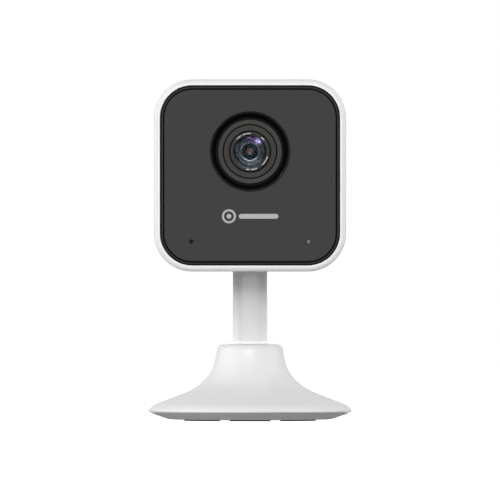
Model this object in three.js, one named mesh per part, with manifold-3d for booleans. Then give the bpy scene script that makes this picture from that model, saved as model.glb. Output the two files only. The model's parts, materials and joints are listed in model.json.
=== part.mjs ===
// Indoor security camera: a square camera head on a stem, tilting on a hinge pin,
// over a weighted trumpet-shaped foot in which the stem swivels.
// Millimetres. Origin at the middle of the foot, on the surface it stands on.
// +Z is up and the camera looks along -Y.
import * as THREE from 'three';
import { mergeVertices } from 'three/addons/utils/BufferGeometryUtils.js';
import Module from 'manifold-3d';

const wasm = await Module();
wasm.setup();

// ---- Driving dimensions ----

// Gap between assembled pieces, and how far a cutting tool reaches past the face that it opens.
const SEAT = 0.05;
const OVER = 1;

// Head housing. Its own frame has the middle of its square at x = 0, z = 0.
const HEAD_CENTRE_Z = 77;
const HEAD_WIDTH = 60.2;
const HEAD_CORNER = 12;
const HEAD_FRONT = -18.5;
const HEAD_BACK = 8.5;
const HEAD_WALL = 2.2;
const BACK_WALL = 2;
const FRONT_FILLET = 1.4;
const BACK_FILLET = 4;
const INSIDE_FILLET = 2.6;
const PARTING_Y = -12.5;
const PARTING_GAP = 0.2;

// Dark front panel, let into the front housing on a ledge.
const PANEL_WIDTH = 56.4;
const PANEL_CORNER = 10;
const PANEL_FRONT = -18.3;
const PANEL_BACK = -16.7;
const PANEL_CHAMFER = 1.1;
const PANEL_CHAMFER_DEPTH = 0.7;
const PANEL_CLEARANCE = 0.15;
const LEDGE_FRONT = -16.4;
const LEDGE_BACK = -14.9;
const LEDGE_OPENING = 51;
const LEDGE_CORNER = 8;
const ADHESIVE_INSET = 0.3;
const SMALL_HOLE_X = 18.35;
const SMALL_HOLE_Z = -20.7;
const MICROPHONE_HOLE = 0.7;
const STATUS_HOLE = 0.8;

// Lens, on its own axis parallel to Y.
const LENS_Z = 7.5;
const SURROUND_RADIUS = 12.5;
const CONE_FLOOR_RADIUS = 9.8;
const CONE_FLOOR_Y = -15.9;
const SURROUND_FLANGE = 13.6;
const TRIM_RADIUS = 8.55;
const TRIM_BORE = 6.35;
const BARREL_RADIUS = 6.2;
const BARREL_FRONT = -16.4;
const RETAINER = { bore: 5.25, radius: 6.15, front: -16.75 };
const GLASS_RADIUS = 5.8;
const GLASS_HOLLOW = 4.6;
const GLASS_BACK = -15.2;
const APERTURE = { bore: 1.05, radius: 3.6, front: -12.45, back: -12.25 };
const HOLDER = { front: -12.6, back: -4.7, halfWidth: 11, halfHeight: 8.5 };
const FILTER = { travel: 7.6, glass: 6.2, window: 6.4, front: -8.4, back: -7.4, height: 9.8, border: 1.2 };
const SURROUND_FRONT = PANEL_FRONT + 0.05;
const TRIM_FRONT = -16.1;

// Circuit boards.
const MAIN_BOARD = { width: 50, height: 32.5, z: 3.75, front: -4.6, back: -3.4 };
const LED_BOARD = { width: 50, front: -14.7, back: -13.7 };
const PORT_BOARD = { width: 52, bottom: -18.4, thickness: 1, front: -11.5, back: 2.6 };

// Openings in the back of the head.
const PORT = { x: -15.5, z: -16, width: 11.6, height: 8, floor: 4, wall: 1.2 };
const CARD_SLOT = { x: 15.5, z: -16.5, width: 12.4, height: 1.8 };
const PORT_MOUTH = { width: 8, height: 3.3 };
const CARD = { width: 11.4, height: 1 };
const RESET = { x: 15.5, z: -7, radius: 2, flange: 2.8, running: 0.15 };
const SPEAKER = { z: 5, radius: 10 };
const GRILLE = { pitch: 2.8, radius: 0.7, rows: 5 };

// Screw places in the head.
const HOUSING_SCREW_X = 23;
const HOUSING_SCREW_Z = -23;
const BOARD_SCREW_X = 22;
const BOARD_BOSS = { radius: 2.2, thread: 0.9, threadEnd: 4, clearance: 1.3 };
const HOUSING_POST = { radius: 2.6, thread: 1.15, threadFront: -9 };
const HOUSING_BOSS = { radius: 3.2, front: 0.3, counterbore: 2.3, seat: 2.4, clearance: 1.3 };

// Screws: radius and height of the head, radius of the shank, length under all, depth of the recess.
const FOOT_SCREW = { head: 2.2, headHeight: 0.7, shank: 0.95, length: 6, recess: 0.4 };
const SWIVEL_SCREW = { head: 2.8, headHeight: 1.7, shank: 1.5, length: 9.5, recess: 0.8 };
const HOUSING_SCREW = { head: 2, headHeight: 1.3, shank: 1.05, length: 10.5, recess: 0.6 };
const BOARD_SCREW = { head: 1.9, headHeight: 1.3, shank: 0.8, length: 6.5, recess: 0.6 };

// Tilt hinge: a pin along X through the stem's knuckle.
const HINGE_Z = 54;
const KNUCKLE_RADIUS = 5.35;
const KNUCKLE_WIDTH = 11.2;
const PIN_RADIUS = 1.5;
const PIN_RUNNING = 0.08;
const PIN_END = 10.8;
const WASHER_RADIUS = 4.6;
const WASHER_BACK = 0.45;
const NUT = { radius: 2.9, start: 7.9, end: 10.1 };
const SLOT_HALF_WIDTH = 6.1;
const SLOT_RADIUS = 5.9;
const SLOT_WALL = 1.6;
const LOOK_DOWN = THREE.MathUtils.degToRad(33);

// Stem and its swivel in the foot.
const STEM_WIDTH = 10.7;
const STEM_DEPTH = 10;
const STEM_CORNER = 3.2;
const STEM_BOTTOM = 24.3;
const SHOULDER_Z = 46.6;
const SHAFT_RADIUS = 3.5;
const SHAFT_END = 12;
const SHAFT_THREAD = { radius: 1.6, top: 19 };
const FLANGE = { bottom: 0.3, height: 0.3, spread: 0.5 };
const SPRING = { bore: 4, radius: 6.2, height: 0.4 };
const DISC = { bore: 1.6, radius: 6.4, bottom: 10.8 };

// Foot.
const FOOT_RADIUS = 32;
const FOOT_SEGMENTS = 36;
const NECK_TOP = 24;
const NECK_RADIUS = 8.4;
const NECK_ROUND = 2;
const NECK_BORE = 4.7;
const HUB_RADIUS = 6.6;
const HUB_BOTTOM = 12.2;
const FOOT_WALL = 2;
const FOOT_FLOOR = 0.3;
const PAD_INNER = 17;
const PAD_OUTER = 20.7;
const PAD_HEIGHT = 0.85;
const FOOT_SCREW_RADIUS = 14;
const FOOT_SCREW_SEAT = { top: 1.1, radius: 2.4, clearance: 1.4 };
const FOOT_THREAD = { radius: 1, top: 9 };
const RIM_BOTTOM = 2.6;
const RIM_INSET = 0.5;
const BOSS_RADIUS = 2.6;
const BOSS_BOTTOM = 2.3;
const FOOT_FLAT_RADIUS = 24;
const COVER_RADIUS = 31.2;
const COVER_TOP = 2.5;
const COVER_INSIDE = 1.9;
const WEIGHT = { bore: 7.5, radius: 21.5, bottom: 4.2, top: 6.1, screwHole: 3 };
const MAGNET = { bore: 17.5, radius: 24, top: 4.1 };
const SHORT_PAD = THREE.MathUtils.degToRad(18);
const LONG_PAD = THREE.MathUtils.degToRad(56.5);
const PAD_NOTCH = THREE.MathUtils.degToRad(40);
const PAD_NOTCH_SPAN = THREE.MathUtils.degToRad(3);
const PAD_SEAT_ANGLE = 0.004;

const QUARTER = Math.PI / 2;
const FULL = Math.PI * 2;

// ---- Materials ----

const finish = (color, roughness, metalness = 0) =>
  new THREE.MeshStandardMaterial({ color, roughness, metalness });

const whitePlastic = finish(0xf2f2f1, 0.45);
const greyPlastic = finish(0x8f9090, 0.6);
const darkPanel = finish(0x3c3c3c, 0.25);
const blackPlastic = finish(0x0c0c0d, 0.5);
const darkRing = finish(0x45433f, 0.45);
const lensGlass = finish(0x5a6a88, 0.05);
const filterGlass = finish(0x7fc4c8, 0.05);
const board = finish(0x1c5a38, 0.5);
const chip = finish(0x18181a, 0.55);
const steel = finish(0xb8babd, 0.3, 1);
const aluminium = finish(0xc4c6c9, 0.4, 1);
const rubber = finish(0x3a3b3c, 0.85);
const diffuser = finish(0x8c8c8a, 0.4);
const copper = finish(0xb8733f, 0.4, 1);
const nylon = finish(0xe6e3d8, 0.5);
const magnetSkin = finish(0x6a6c70, 0.35, 1);

// ---- Solids ----

// A lathe leaves triangles of no area on its axis; they go when the vertices merge.
function weld(geometry) {
  const bare = geometry.clone();
  bare.deleteAttribute('normal');
  bare.deleteAttribute('uv');
  const welded = mergeVertices(bare);
  const corners = welded.index.array;
  const kept = [];
  for (let i = 0; i < corners.length; i += 3) {
    const [a, b, c] = corners.slice(i, i + 3);
    if (a !== b && b !== c && c !== a) kept.push(a, b, c);
  }
  welded.setIndex(kept);
  return welded;
}

function toSolid(geometry) {
  const welded = weld(geometry);
  const vertProperties = new Float32Array(welded.attributes.position.array);
  const triVerts = new Uint32Array(welded.index.array);
  return new wasm.Manifold(new wasm.Mesh({ numProp: 3, vertProperties, triVerts }));
}

function toGeometry(solid) {
  const mesh = solid.getMesh();
  const geometry = new THREE.BufferGeometry();
  geometry.setAttribute('position', new THREE.BufferAttribute(mesh.vertProperties, 3));
  geometry.setIndex(new THREE.BufferAttribute(mesh.triVerts, 1));
  return geometry;
}

function combine(operation, body, tools) {
  let solid = toSolid(body);
  for (const tool of tools) solid = solid[operation](toSolid(tool));
  return toGeometry(solid);
}

const cut = (body, ...tools) => combine('subtract', body, tools);
const join = (body, ...tools) => combine('add', body, tools);
const trim = (body, ...tools) => combine('intersect', body, tools);

// Shapes are drawn in X-Z for a slab across Y, in X-Y for a plate across Z
// and in Y-Z for a slice across X.
const toSlab = new THREE.Matrix4().makeRotationX(QUARTER);
const toSlice = new THREE.Matrix4().makeBasis(
  new THREE.Vector3(0, 1, 0), new THREE.Vector3(0, 0, 1), new THREE.Vector3(1, 0, 0));

function extrude(shape, depth, options = {}) {
  return new THREE.ExtrudeGeometry(shape, { depth, bevelEnabled: false, curveSegments: 4, ...options });
}

function slab(shape, front, back, options) {
  return extrude(shape, back - front, options).applyMatrix4(toSlab).translate(0, back, 0);
}

function plate(shape, bottom, top, options) {
  return extrude(shape, top - bottom, options).translate(0, 0, bottom);
}

function slice(shape, left, right, options) {
  return extrude(shape, right - left, options).applyMatrix4(toSlice).translate(left, 0, 0);
}

function roundedRect(width, height, radius, x = 0, y = 0) {
  const right = width / 2;
  const top = height / 2;
  const shape = new THREE.Shape();
  shape.absarc(x + right - radius, y - top + radius, radius, -QUARTER, 0);
  shape.absarc(x + right - radius, y + top - radius, radius, 0, QUARTER);
  shape.absarc(x - right + radius, y + top - radius, radius, QUARTER, Math.PI);
  shape.absarc(x - right + radius, y - top + radius, radius, Math.PI, Math.PI + QUARTER);
  shape.closePath();
  return shape;
}

function box(left, right, front, back, bottom, top) {
  const geometry = new THREE.BoxGeometry(right - left, back - front, top - bottom);
  return geometry.translate((left + right) / 2, (front + back) / 2, (bottom + top) / 2);
}

// A box on a board, given by its middle in X and Z.
function block(x, z, width, height, front, back) {
  return box(x - width / 2, x + width / 2, front, back, z - height / 2, z + height / 2);
}

// A square slab whose front or back edge is rounded or chamfered; the other end stays sharp.
function softSlab(width, radius, front, back, end, size, depth, segments) {
  const spare = depth * 2;
  const reach = { front: [front + depth, back + spare], back: [front - spare, back - depth] }[end];
  const bevel = {
    bevelEnabled: true, bevelSize: size, bevelOffset: -size, bevelThickness: depth, bevelSegments: segments,
  };
  const whole = slab(roundedRect(width, width, radius), ...reach, bevel);
  return trim(whole, box(-width, width, front, back, -width, width));
}

// A turned piece, from an outline of [radius, height] points that closes on itself or runs
// from axis to axis. Its axis is Z, or Y where it is turned along the lens.
function turned(outline, { segments = 24, alongLens = false } = {}) {
  const points = outline.map(([radius, height]) => new THREE.Vector2(radius, height));
  const onAxis = points[0].x === 0 && points[points.length - 1].x === 0;
  if (!onAxis) points.push(points[0].clone());
  const clockwise = THREE.ShapeUtils.area(points) < 0;
  if (clockwise) points.reverse();
  const geometry = new THREE.LatheGeometry(points, segments);
  return alongLens ? geometry : geometry.rotateX(QUARTER);
}

function alongX(geometry) {
  return geometry.rotateY(QUARTER);
}

function rod(radius, bottom, top, segments = 20) {
  return turned([[0, bottom], [radius, bottom], [radius, top], [0, top]], { segments });
}

function ring(inner, outer, bottom, top, segments = 24) {
  return turned([[inner, bottom], [outer, bottom], [outer, top], [inner, top]], { segments });
}

function rodAlongY(radius, front, back, x, z, segments = 16) {
  const outline = [[0, front], [radius, front], [radius, back], [0, back]];
  return turned(outline, { segments, alongLens: true }).translate(x, 0, z);
}

// Points of a shallow dome from the axis out to a radius, for a lens face.
function dome(radius, apex, edge, steps = 4) {
  const sag = edge - apex;
  const sphere = (radius * radius + sag * sag) / (2 * sag);
  const points = [];
  for (let i = 0; i <= steps; i += 1) {
    const r = (radius * i) / steps;
    points.push([r, apex + sphere - Math.sign(sag) * Math.sqrt(sphere * sphere - r * r)]);
  }
  return points;
}

function place(group, name, geometry, material) {
  const mesh = new THREE.Mesh(weld(geometry), material);
  mesh.name = name;
  group.add(mesh);
  return mesh;
}

// A pan-head screw along +Z with a cross recess, its head at the bottom.
function screw({ head, headHeight, shank, length, recess }) {
  const body = turned([
    [0, 0], [head * 0.8, 0], [head, headHeight * 0.4], [head, headHeight],
    [shank, headHeight], [shank, length - shank], [shank * 0.4, length], [0, length],
  ], { segments: 10 });
  const arm = head * 0.45;
  const width = head * 0.2;
  return cut(body,
    box(-arm, arm, -width, width, -OVER, recess),
    box(-width, width, -arm, arm, -OVER, recess));
}

const assembly = new THREE.Group();
const foot = new THREE.Group();
const head = new THREE.Group();
const lens = new THREE.Group();
head.position.z = HEAD_CENTRE_Z;
lens.position.z = LENS_Z;
head.add(lens);
assembly.add(foot, head);

// ---- Foot ----

// The outside of the foot from the neck's top edge, down the trumpet, to the rim.
function footOutline() {
  const path = new THREE.Path();
  path.moveTo(NECK_BORE, NECK_TOP);
  path.lineTo(NECK_RADIUS, NECK_TOP);
  path.absarc(NECK_RADIUS, NECK_TOP - NECK_ROUND, NECK_ROUND, QUARTER, 0.12, true);
  path.bezierCurveTo(10.6, 19.2, 11.6, 15.2, 15.3, 12);
  path.bezierCurveTo(18.07, 9.6, 22.8, 7.98, 26, 6.77);
  path.bezierCurveTo(28.6, 5.85, 30.8, 5, FOOT_RADIUS - RIM_INSET, 4.05);
  path.quadraticCurveTo(FOOT_RADIUS, 3.6, FOOT_RADIUS, 3.15);
  path.lineTo(FOOT_RADIUS - RIM_INSET, RIM_BOTTOM);
  return path.getPoints(3);
}

// The inside of the shell, a wall's thickness in from the outline between neck and rim.
function footInside(outline) {
  const clearOfHub = HUB_RADIUS + 1;
  const clearOfRim = RIM_BOTTOM + 0.2;
  const inside = [];
  for (let i = 1; i < outline.length - 1; i += 1) {
    const along = outline[i + 1].clone().sub(outline[i - 1]).normalize();
    const x = outline[i].x + along.y * FOOT_WALL;
    const y = outline[i].y - along.x * FOOT_WALL;
    if (x > clearOfHub && x < FOOT_RADIUS - FOOT_WALL && y > clearOfRim) inside.push([x, y]);
  }
  return inside;
}

const footScrewAngles = [0, 1, 2].map((i) => QUARTER + (i * FULL) / 3);

function atFootScrew(geometry, angle) {
  return geometry.translate(Math.cos(angle) * FOOT_SCREW_RADIUS, Math.sin(angle) * FOOT_SCREW_RADIUS, 0);
}

function baseShell() {
  const outline = footOutline();
  const outside = outline.map((point) => [point.x, point.y]);
  const inside = footInside(outline).reverse();
  const shell = turned([
    ...outside,
    [FOOT_RADIUS - FOOT_WALL, RIM_BOTTOM],
    ...inside,
    [HUB_RADIUS, inside[inside.length - 1][1]],
    [HUB_RADIUS, HUB_BOTTOM],
    [NECK_BORE, HUB_BOTTOM],
  ], { segments: FOOT_SEGMENTS });
  const filled = turned([[0, NECK_TOP], ...outside, [0, RIM_BOTTOM]], { segments: FOOT_SEGMENTS });
  const bosses = footScrewAngles.map((angle) =>
    trim(atFootScrew(rod(BOSS_RADIUS, BOSS_BOTTOM, NECK_TOP, 16), angle), filled));
  const holes = footScrewAngles.map((angle) =>
    atFootScrew(rod(FOOT_THREAD.radius, BOSS_BOTTOM - OVER, FOOT_THREAD.top, 12), angle));
  return cut(join(shell, ...bosses), ...holes);
}

// An arc-shaped pad, seen from above, centred on an angle.
function padArc(inner, outer, middle, halfSpan, bottom, top) {
  const shape = new THREE.Shape();
  shape.absarc(0, 0, outer, middle - halfSpan, middle + halfSpan);
  shape.absarc(0, 0, inner, middle + halfSpan, middle - halfSpan, true);
  shape.closePath();
  return plate(shape, bottom, top, { curveSegments: Math.ceil(halfSpan * 12) });
}

const footPads = [
  { name: 'foot_pad_front', middle: -QUARTER, halfSpan: SHORT_PAD, notches: [] },
  { name: 'foot_pad_rear', middle: QUARTER, halfSpan: SHORT_PAD, notches: [] },
  { name: 'foot_pad_left', middle: Math.PI, halfSpan: LONG_PAD, notches: [-PAD_NOTCH, PAD_NOTCH] },
  { name: 'foot_pad_right', middle: 0, halfSpan: LONG_PAD, notches: [-PAD_NOTCH, PAD_NOTCH] },
];

function footPad({ middle, halfSpan, notches }) {
  const pad = padArc(PAD_INNER, PAD_OUTER, middle, halfSpan, 0, PAD_HEIGHT);
  const grooves = notches.map((angle) =>
    padArc(PAD_INNER - OVER, PAD_OUTER + OVER, middle + angle, PAD_NOTCH_SPAN, -OVER, FOOT_FLOOR));
  return grooves.length > 0 ? cut(pad, ...grooves) : pad;
}

function baseBottom() {
  const cover = turned([
    [0, FOOT_FLOOR], [FOOT_FLAT_RADIUS, FOOT_FLOOR], [25.6, 0.47], [26.7, 0.84], [COVER_RADIUS, 2.4],
    [COVER_RADIUS, COVER_TOP], [COVER_RADIUS - 1.6, COVER_TOP], [24.6, COVER_INSIDE], [0, COVER_INSIDE],
  ], { segments: FOOT_SEGMENTS });
  const padSeats = footPads.map(({ middle, halfSpan }) => padArc(
    PAD_INNER - SEAT, PAD_OUTER + SEAT, middle, halfSpan + PAD_SEAT_ANGLE, -OVER, PAD_HEIGHT + SEAT));
  const screwSeats = footScrewAngles.map((angle) => atFootScrew(join(
    rod(FOOT_SCREW_SEAT.radius, -OVER, FOOT_SCREW_SEAT.top, 16),
    rod(FOOT_SCREW_SEAT.clearance, -OVER, COVER_INSIDE + OVER, 16)), angle));
  return cut(cover, ...padSeats, ...screwSeats);
}

function weightPlate() {
  const { bore, radius, bottom, top, screwHole } = WEIGHT;
  const holes = footScrewAngles.map((angle) =>
    atFootScrew(rod(screwHole, bottom - OVER, top + OVER, 16), angle));
  return cut(ring(bore, radius, bottom, top, 40), ...holes);
}

place(foot, 'base_shell', baseShell(), whitePlastic);
place(foot, 'base_bottom', baseBottom(), greyPlastic);
place(foot, 'weight_plate', weightPlate(), steel);
const magnet = ring(MAGNET.bore, MAGNET.radius, COVER_INSIDE + SEAT, MAGNET.top, 40);
place(foot, 'magnet_ring', magnet, magnetSkin);
for (const pad of footPads) place(foot, pad.name, footPad(pad), rubber);
footScrewAngles.forEach((angle, i) => {
  const seated = screw(FOOT_SCREW).translate(0, 0, FOOT_SCREW_SEAT.top - FOOT_SCREW.headHeight - SEAT);
  place(foot, `base_screw_${i + 1}`, atFootScrew(seated, angle), steel);
});
const bush = ring(SHAFT_RADIUS + PIN_RUNNING, NECK_BORE - SEAT, HUB_BOTTOM + 0.2, NECK_TOP - 0.1);
place(foot, 'swivel_bush', bush, nylon);

// ---- Stem ----

function stemBody() {
  const section = roundedRect(STEM_WIDTH, STEM_DEPTH, STEM_CORNER);
  const flangeBottom = STEM_BOTTOM + FLANGE.bottom;
  const column = plate(section, flangeBottom + FLANGE.height / 2, HINGE_Z - 2, { curveSegments: 3 });
  const flange = plate(section, flangeBottom, flangeBottom + FLANGE.height, {
    curveSegments: 3,
    bevelEnabled: true,
    bevelSize: FLANGE.spread,
    bevelThickness: FLANGE.bottom,
    bevelSegments: 1,
  });
  const cheek = new THREE.Shape();
  cheek.moveTo(-KNUCKLE_RADIUS, SHOULDER_Z);
  cheek.lineTo(KNUCKLE_RADIUS, SHOULDER_Z);
  cheek.absarc(0, HINGE_Z, KNUCKLE_RADIUS, 0, Math.PI);
  cheek.closePath();
  const knuckle = slice(cheek, -KNUCKLE_WIDTH / 2, KNUCKLE_WIDTH / 2, { curveSegments: 8 });
  const shaft = rod(SHAFT_RADIUS, SHAFT_END, flangeBottom + FLANGE.height / 2, 24);
  const pinRoom = alongX(rod(PIN_RADIUS + PIN_RUNNING, -KNUCKLE_WIDTH, KNUCKLE_WIDTH));
  const pinBore = pinRoom.translate(0, 0, HINGE_Z);
  const screwBore = rod(SHAFT_THREAD.radius, SHAFT_END - OVER, SHAFT_THREAD.top);
  return cut(join(column, flange, knuckle, shaft), pinBore, screwBore);
}

place(foot, 'stem', stemBody(), whitePlastic);
const springTop = HUB_BOTTOM - SEAT;
const springBottom = springTop - SPRING.height;
place(foot, 'wave_spring', ring(SPRING.bore, SPRING.radius, springBottom, springTop), steel);
place(foot, 'retaining_disc', ring(DISC.bore, DISC.radius, DISC.bottom, springBottom - SEAT), steel);
const swivelScrewBottom = DISC.bottom - SWIVEL_SCREW.headHeight - 2 * SEAT;
place(foot, 'swivel_screw', screw(SWIVEL_SCREW).translate(0, 0, swivelScrewBottom), steel);

// ---- Head housing ----

const boardScrewPlaces = [
  [-BOARD_SCREW_X, -9.5], [BOARD_SCREW_X, -9.5], [-BOARD_SCREW_X, 16.5], [BOARD_SCREW_X, 16.5],
];

// Turns a piece made along Z to lie along the hinge axis, in the head's own frame.
function atHinge(geometry) {
  return alongX(geometry).translate(0, 0, HINGE_Z - HEAD_CENTRE_Z);
}

function frontHousing() {
  const outside = softSlab(
    HEAD_WIDTH, HEAD_CORNER, HEAD_FRONT, PARTING_Y, 'front', FRONT_FILLET, FRONT_FILLET, 4);
  const panelSeat = PANEL_WIDTH + 2 * PANEL_CLEARANCE;
  const inside = HEAD_WIDTH - 2 * HEAD_WALL;
  const seatShape = roundedRect(panelSeat, panelSeat, PANEL_CORNER + PANEL_CLEARANCE);
  const recess = slab(seatShape, HEAD_FRONT - OVER, LEDGE_FRONT);
  const openingShape = roundedRect(LEDGE_OPENING, LEDGE_OPENING, LEDGE_CORNER);
  const opening = slab(openingShape, LEDGE_FRONT - OVER, LEDGE_BACK + OVER);
  const hollow = slab(roundedRect(inside, inside, HEAD_CORNER - HEAD_WALL), LEDGE_BACK, PARTING_Y + OVER);
  const posts = [];
  const threads = [];
  for (const x of [-HOUSING_SCREW_X, HOUSING_SCREW_X]) {
    posts.push(rodAlongY(HOUSING_POST.radius, LEDGE_FRONT, 0, x, HOUSING_SCREW_Z));
    threads.push(rodAlongY(HOUSING_POST.thread, HOUSING_POST.threadFront, OVER, x, HOUSING_SCREW_Z, 12));
  }
  return cut(join(cut(outside, recess, opening, hollow), ...posts), ...threads);
}

// The space that the stem sweeps as the head tilts, grown by a radius round the hinge.
function stemSweep(radius, halfWidth) {
  const reach = 40;
  const forward = new THREE.Vector2(-Math.cos(LOOK_DOWN), Math.sin(LOOK_DOWN)).multiplyScalar(radius);
  const down = new THREE.Vector2(-Math.sin(LOOK_DOWN), -Math.cos(LOOK_DOWN)).multiplyScalar(reach);
  const shape = new THREE.Shape();
  shape.moveTo(forward.x + down.x, forward.y + down.y);
  shape.lineTo(reach, -reach);
  shape.lineTo(reach, radius);
  shape.absarc(0, 0, radius, QUARTER, Math.PI - LOOK_DOWN);
  shape.closePath();
  return slice(shape, -halfWidth, halfWidth, { curveSegments: 6 }).translate(0, 0, HINGE_Z - HEAD_CENTRE_Z);
}

// A hexagon of round holes over the speaker.
function speakerGrille() {
  const { pitch, radius, rows } = GRILLE;
  const half = (rows - 1) / 2;
  const holes = [];
  for (let row = -half; row <= half; row += 1) {
    const count = rows - Math.abs(row);
    for (let i = 0; i < count; i += 1) {
      const x = (i - (count - 1) / 2) * pitch;
      const z = SPEAKER.z + row * pitch * Math.sin(Math.PI / 3);
      holes.push(rodAlongY(radius, HEAD_BACK - BACK_WALL - OVER, HEAD_BACK + OVER, x, z, 6));
    }
  }
  return holes;
}

function rearHousing() {
  const front = PARTING_Y + PARTING_GAP;
  const inner = HEAD_BACK - BACK_WALL;
  const insideWidth = HEAD_WIDTH - 2 * HEAD_WALL;
  const insideCorner = HEAD_CORNER - HEAD_WALL;
  const outside = softSlab(HEAD_WIDTH, HEAD_CORNER, front, HEAD_BACK, 'back', BACK_FILLET, BACK_FILLET, 5);
  const hollow = softSlab(
    insideWidth, insideCorner, front - OVER, inner, 'back', INSIDE_FILLET, INSIDE_FILLET, 3);
  const slotWalls = trim(stemSweep(SLOT_RADIUS + SLOT_WALL, SLOT_HALF_WIDTH + SLOT_WALL), outside);
  const additions = [slotWalls];
  const removals = [stemSweep(SLOT_RADIUS, SLOT_HALF_WIDTH)];

  additions.push(block(PORT.x, PORT.z, PORT.width + 2 * PORT.wall, PORT.height + 2 * PORT.wall,
    PORT.floor - PORT.wall, inner + OVER));
  removals.push(block(PORT.x, PORT.z, PORT.width, PORT.height, PORT.floor, HEAD_BACK + OVER));
  removals.push(block(PORT.x, PORT.z, PORT_MOUTH.width, PORT_MOUTH.height, 0, HEAD_BACK));
  removals.push(block(
    CARD_SLOT.x, CARD_SLOT.z, CARD_SLOT.width, CARD_SLOT.height, inner - OVER, HEAD_BACK + OVER));
  removals.push(rodAlongY(RESET.radius + RESET.running, inner - OVER, HEAD_BACK + OVER, RESET.x, RESET.z));

  for (const x of [-HOUSING_SCREW_X, HOUSING_SCREW_X]) {
    const { radius, front: start, counterbore, seat, clearance } = HOUSING_BOSS;
    additions.push(rodAlongY(radius, start, inner + OVER, x, HOUSING_SCREW_Z));
    removals.push(rodAlongY(counterbore, seat, HEAD_BACK + OVER, x, HOUSING_SCREW_Z));
    removals.push(rodAlongY(clearance, start - OVER, seat + OVER, x, HOUSING_SCREW_Z, 12));
  }
  for (const [x, z] of boardScrewPlaces) {
    additions.push(rodAlongY(BOARD_BOSS.radius, MAIN_BOARD.back + SEAT, inner + OVER, x, z, 16));
    removals.push(rodAlongY(BOARD_BOSS.thread, MAIN_BOARD.back - OVER, BOARD_BOSS.threadEnd, x, z, 12));
  }
  const pinReach = SLOT_HALF_WIDTH + SLOT_WALL + OVER;
  removals.push(atHinge(rod(PIN_RADIUS + SEAT, -pinReach, pinReach)));
  return cut(join(cut(outside, hollow), ...additions), ...removals, ...speakerGrille());
}

function frontPanel() {
  const sheet = softSlab(PANEL_WIDTH, PANEL_CORNER, PANEL_FRONT, PANEL_BACK, 'front',
    PANEL_CHAMFER, PANEL_CHAMFER_DEPTH, 1);
  const bore = [PANEL_FRONT - OVER, PANEL_BACK + OVER];
  return cut(sheet,
    rodAlongY(SURROUND_RADIUS + PANEL_CLEARANCE, ...bore, 0, LENS_Z, 36),
    rodAlongY(MICROPHONE_HOLE, ...bore, -SMALL_HOLE_X, SMALL_HOLE_Z, 16),
    rodAlongY(STATUS_HOLE, ...bore, SMALL_HOLE_X, SMALL_HOLE_Z, 16));
}

function panelAdhesive() {
  const outer = PANEL_WIDTH - 2 * ADHESIVE_INSET;
  const inner = LEDGE_OPENING + 2 * ADHESIVE_INSET;
  const shape = roundedRect(outer, outer, PANEL_CORNER);
  shape.holes.push(roundedRect(inner, inner, LEDGE_CORNER));
  return slab(shape, PANEL_BACK + SEAT, LEDGE_FRONT - SEAT);
}

place(head, 'front_housing', frontHousing(), whitePlastic);
place(head, 'rear_housing', rearHousing(), whitePlastic);
place(head, 'front_panel', frontPanel(), darkPanel);
place(head, 'panel_adhesive', panelAdhesive(), blackPlastic);

// ---- Lens ----

function alongLens(outline, segments) {
  return turned(outline, { segments, alongLens: true });
}

const surround = alongLens([
  [SURROUND_RADIUS - 0.15, SURROUND_FRONT], [SURROUND_RADIUS, SURROUND_FRONT + 0.15],
  [SURROUND_RADIUS, -16.6],
  [SURROUND_FLANGE, -16.6], [SURROUND_FLANGE, -15.6], [SURROUND_RADIUS, LEDGE_BACK],
  [TRIM_RADIUS + 0.1, LEDGE_BACK], [TRIM_RADIUS + 0.1, CONE_FLOOR_Y], [CONE_FLOOR_RADIUS, CONE_FLOOR_Y],
], 36);

const trimRing = alongLens([
  [TRIM_BORE, TRIM_FRONT], [TRIM_RADIUS - 0.15, TRIM_FRONT], [TRIM_RADIUS, TRIM_FRONT + 0.15],
  [TRIM_RADIUS, -15], [TRIM_BORE, -15],
], 32);

const barrel = alongLens([
  [BARREL_RADIUS, BARREL_FRONT], [BARREL_RADIUS, -13.2], [6, -13], [6, -9], [3.7, -9], [3.7, -12.5],
  [2.4, -12.5], [2.4, -12.7], [2.85, -12.7], [2.85, -13.9], [5.1, -15.1],
  [GLASS_RADIUS + SEAT, -15.1], [GLASS_RADIUS + SEAT, BARREL_FRONT + 0.1],
], 28);

// The ring that holds the front lens in the barrel, bevelled towards the glass.
const retainer = alongLens([
  [RETAINER.bore, RETAINER.front + 0.1], [RETAINER.bore + 0.15, RETAINER.front],
  [RETAINER.radius, RETAINER.front], [RETAINER.radius, BARREL_FRONT - SEAT],
  [GLASS_RADIUS + SEAT, BARREL_FRONT - SEAT],
], 28);

const frontLens = alongLens([
  ...dome(GLASS_RADIUS, -17.3, -15.9), [GLASS_RADIUS, GLASS_BACK], [GLASS_HOLLOW, GLASS_BACK],
  ...dome(GLASS_HOLLOW, -16.2, GLASS_BACK).reverse().slice(1),
], 28);

const middleLens = alongLens([...dome(2.8, -14.2, -13.6, 3), [2.8, -12.8], [0, -12.8]], 20);
const rearLens = alongLens([...dome(3.6, -12.15, -11.7, 3), ...dome(3.6, -10, -10.5, 3).reverse()], 20);

const apertureDisc = alongLens([
  [APERTURE.bore, APERTURE.front], [APERTURE.radius, APERTURE.front],
  [APERTURE.radius, APERTURE.back], [APERTURE.bore, APERTURE.back],
], 20);

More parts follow.
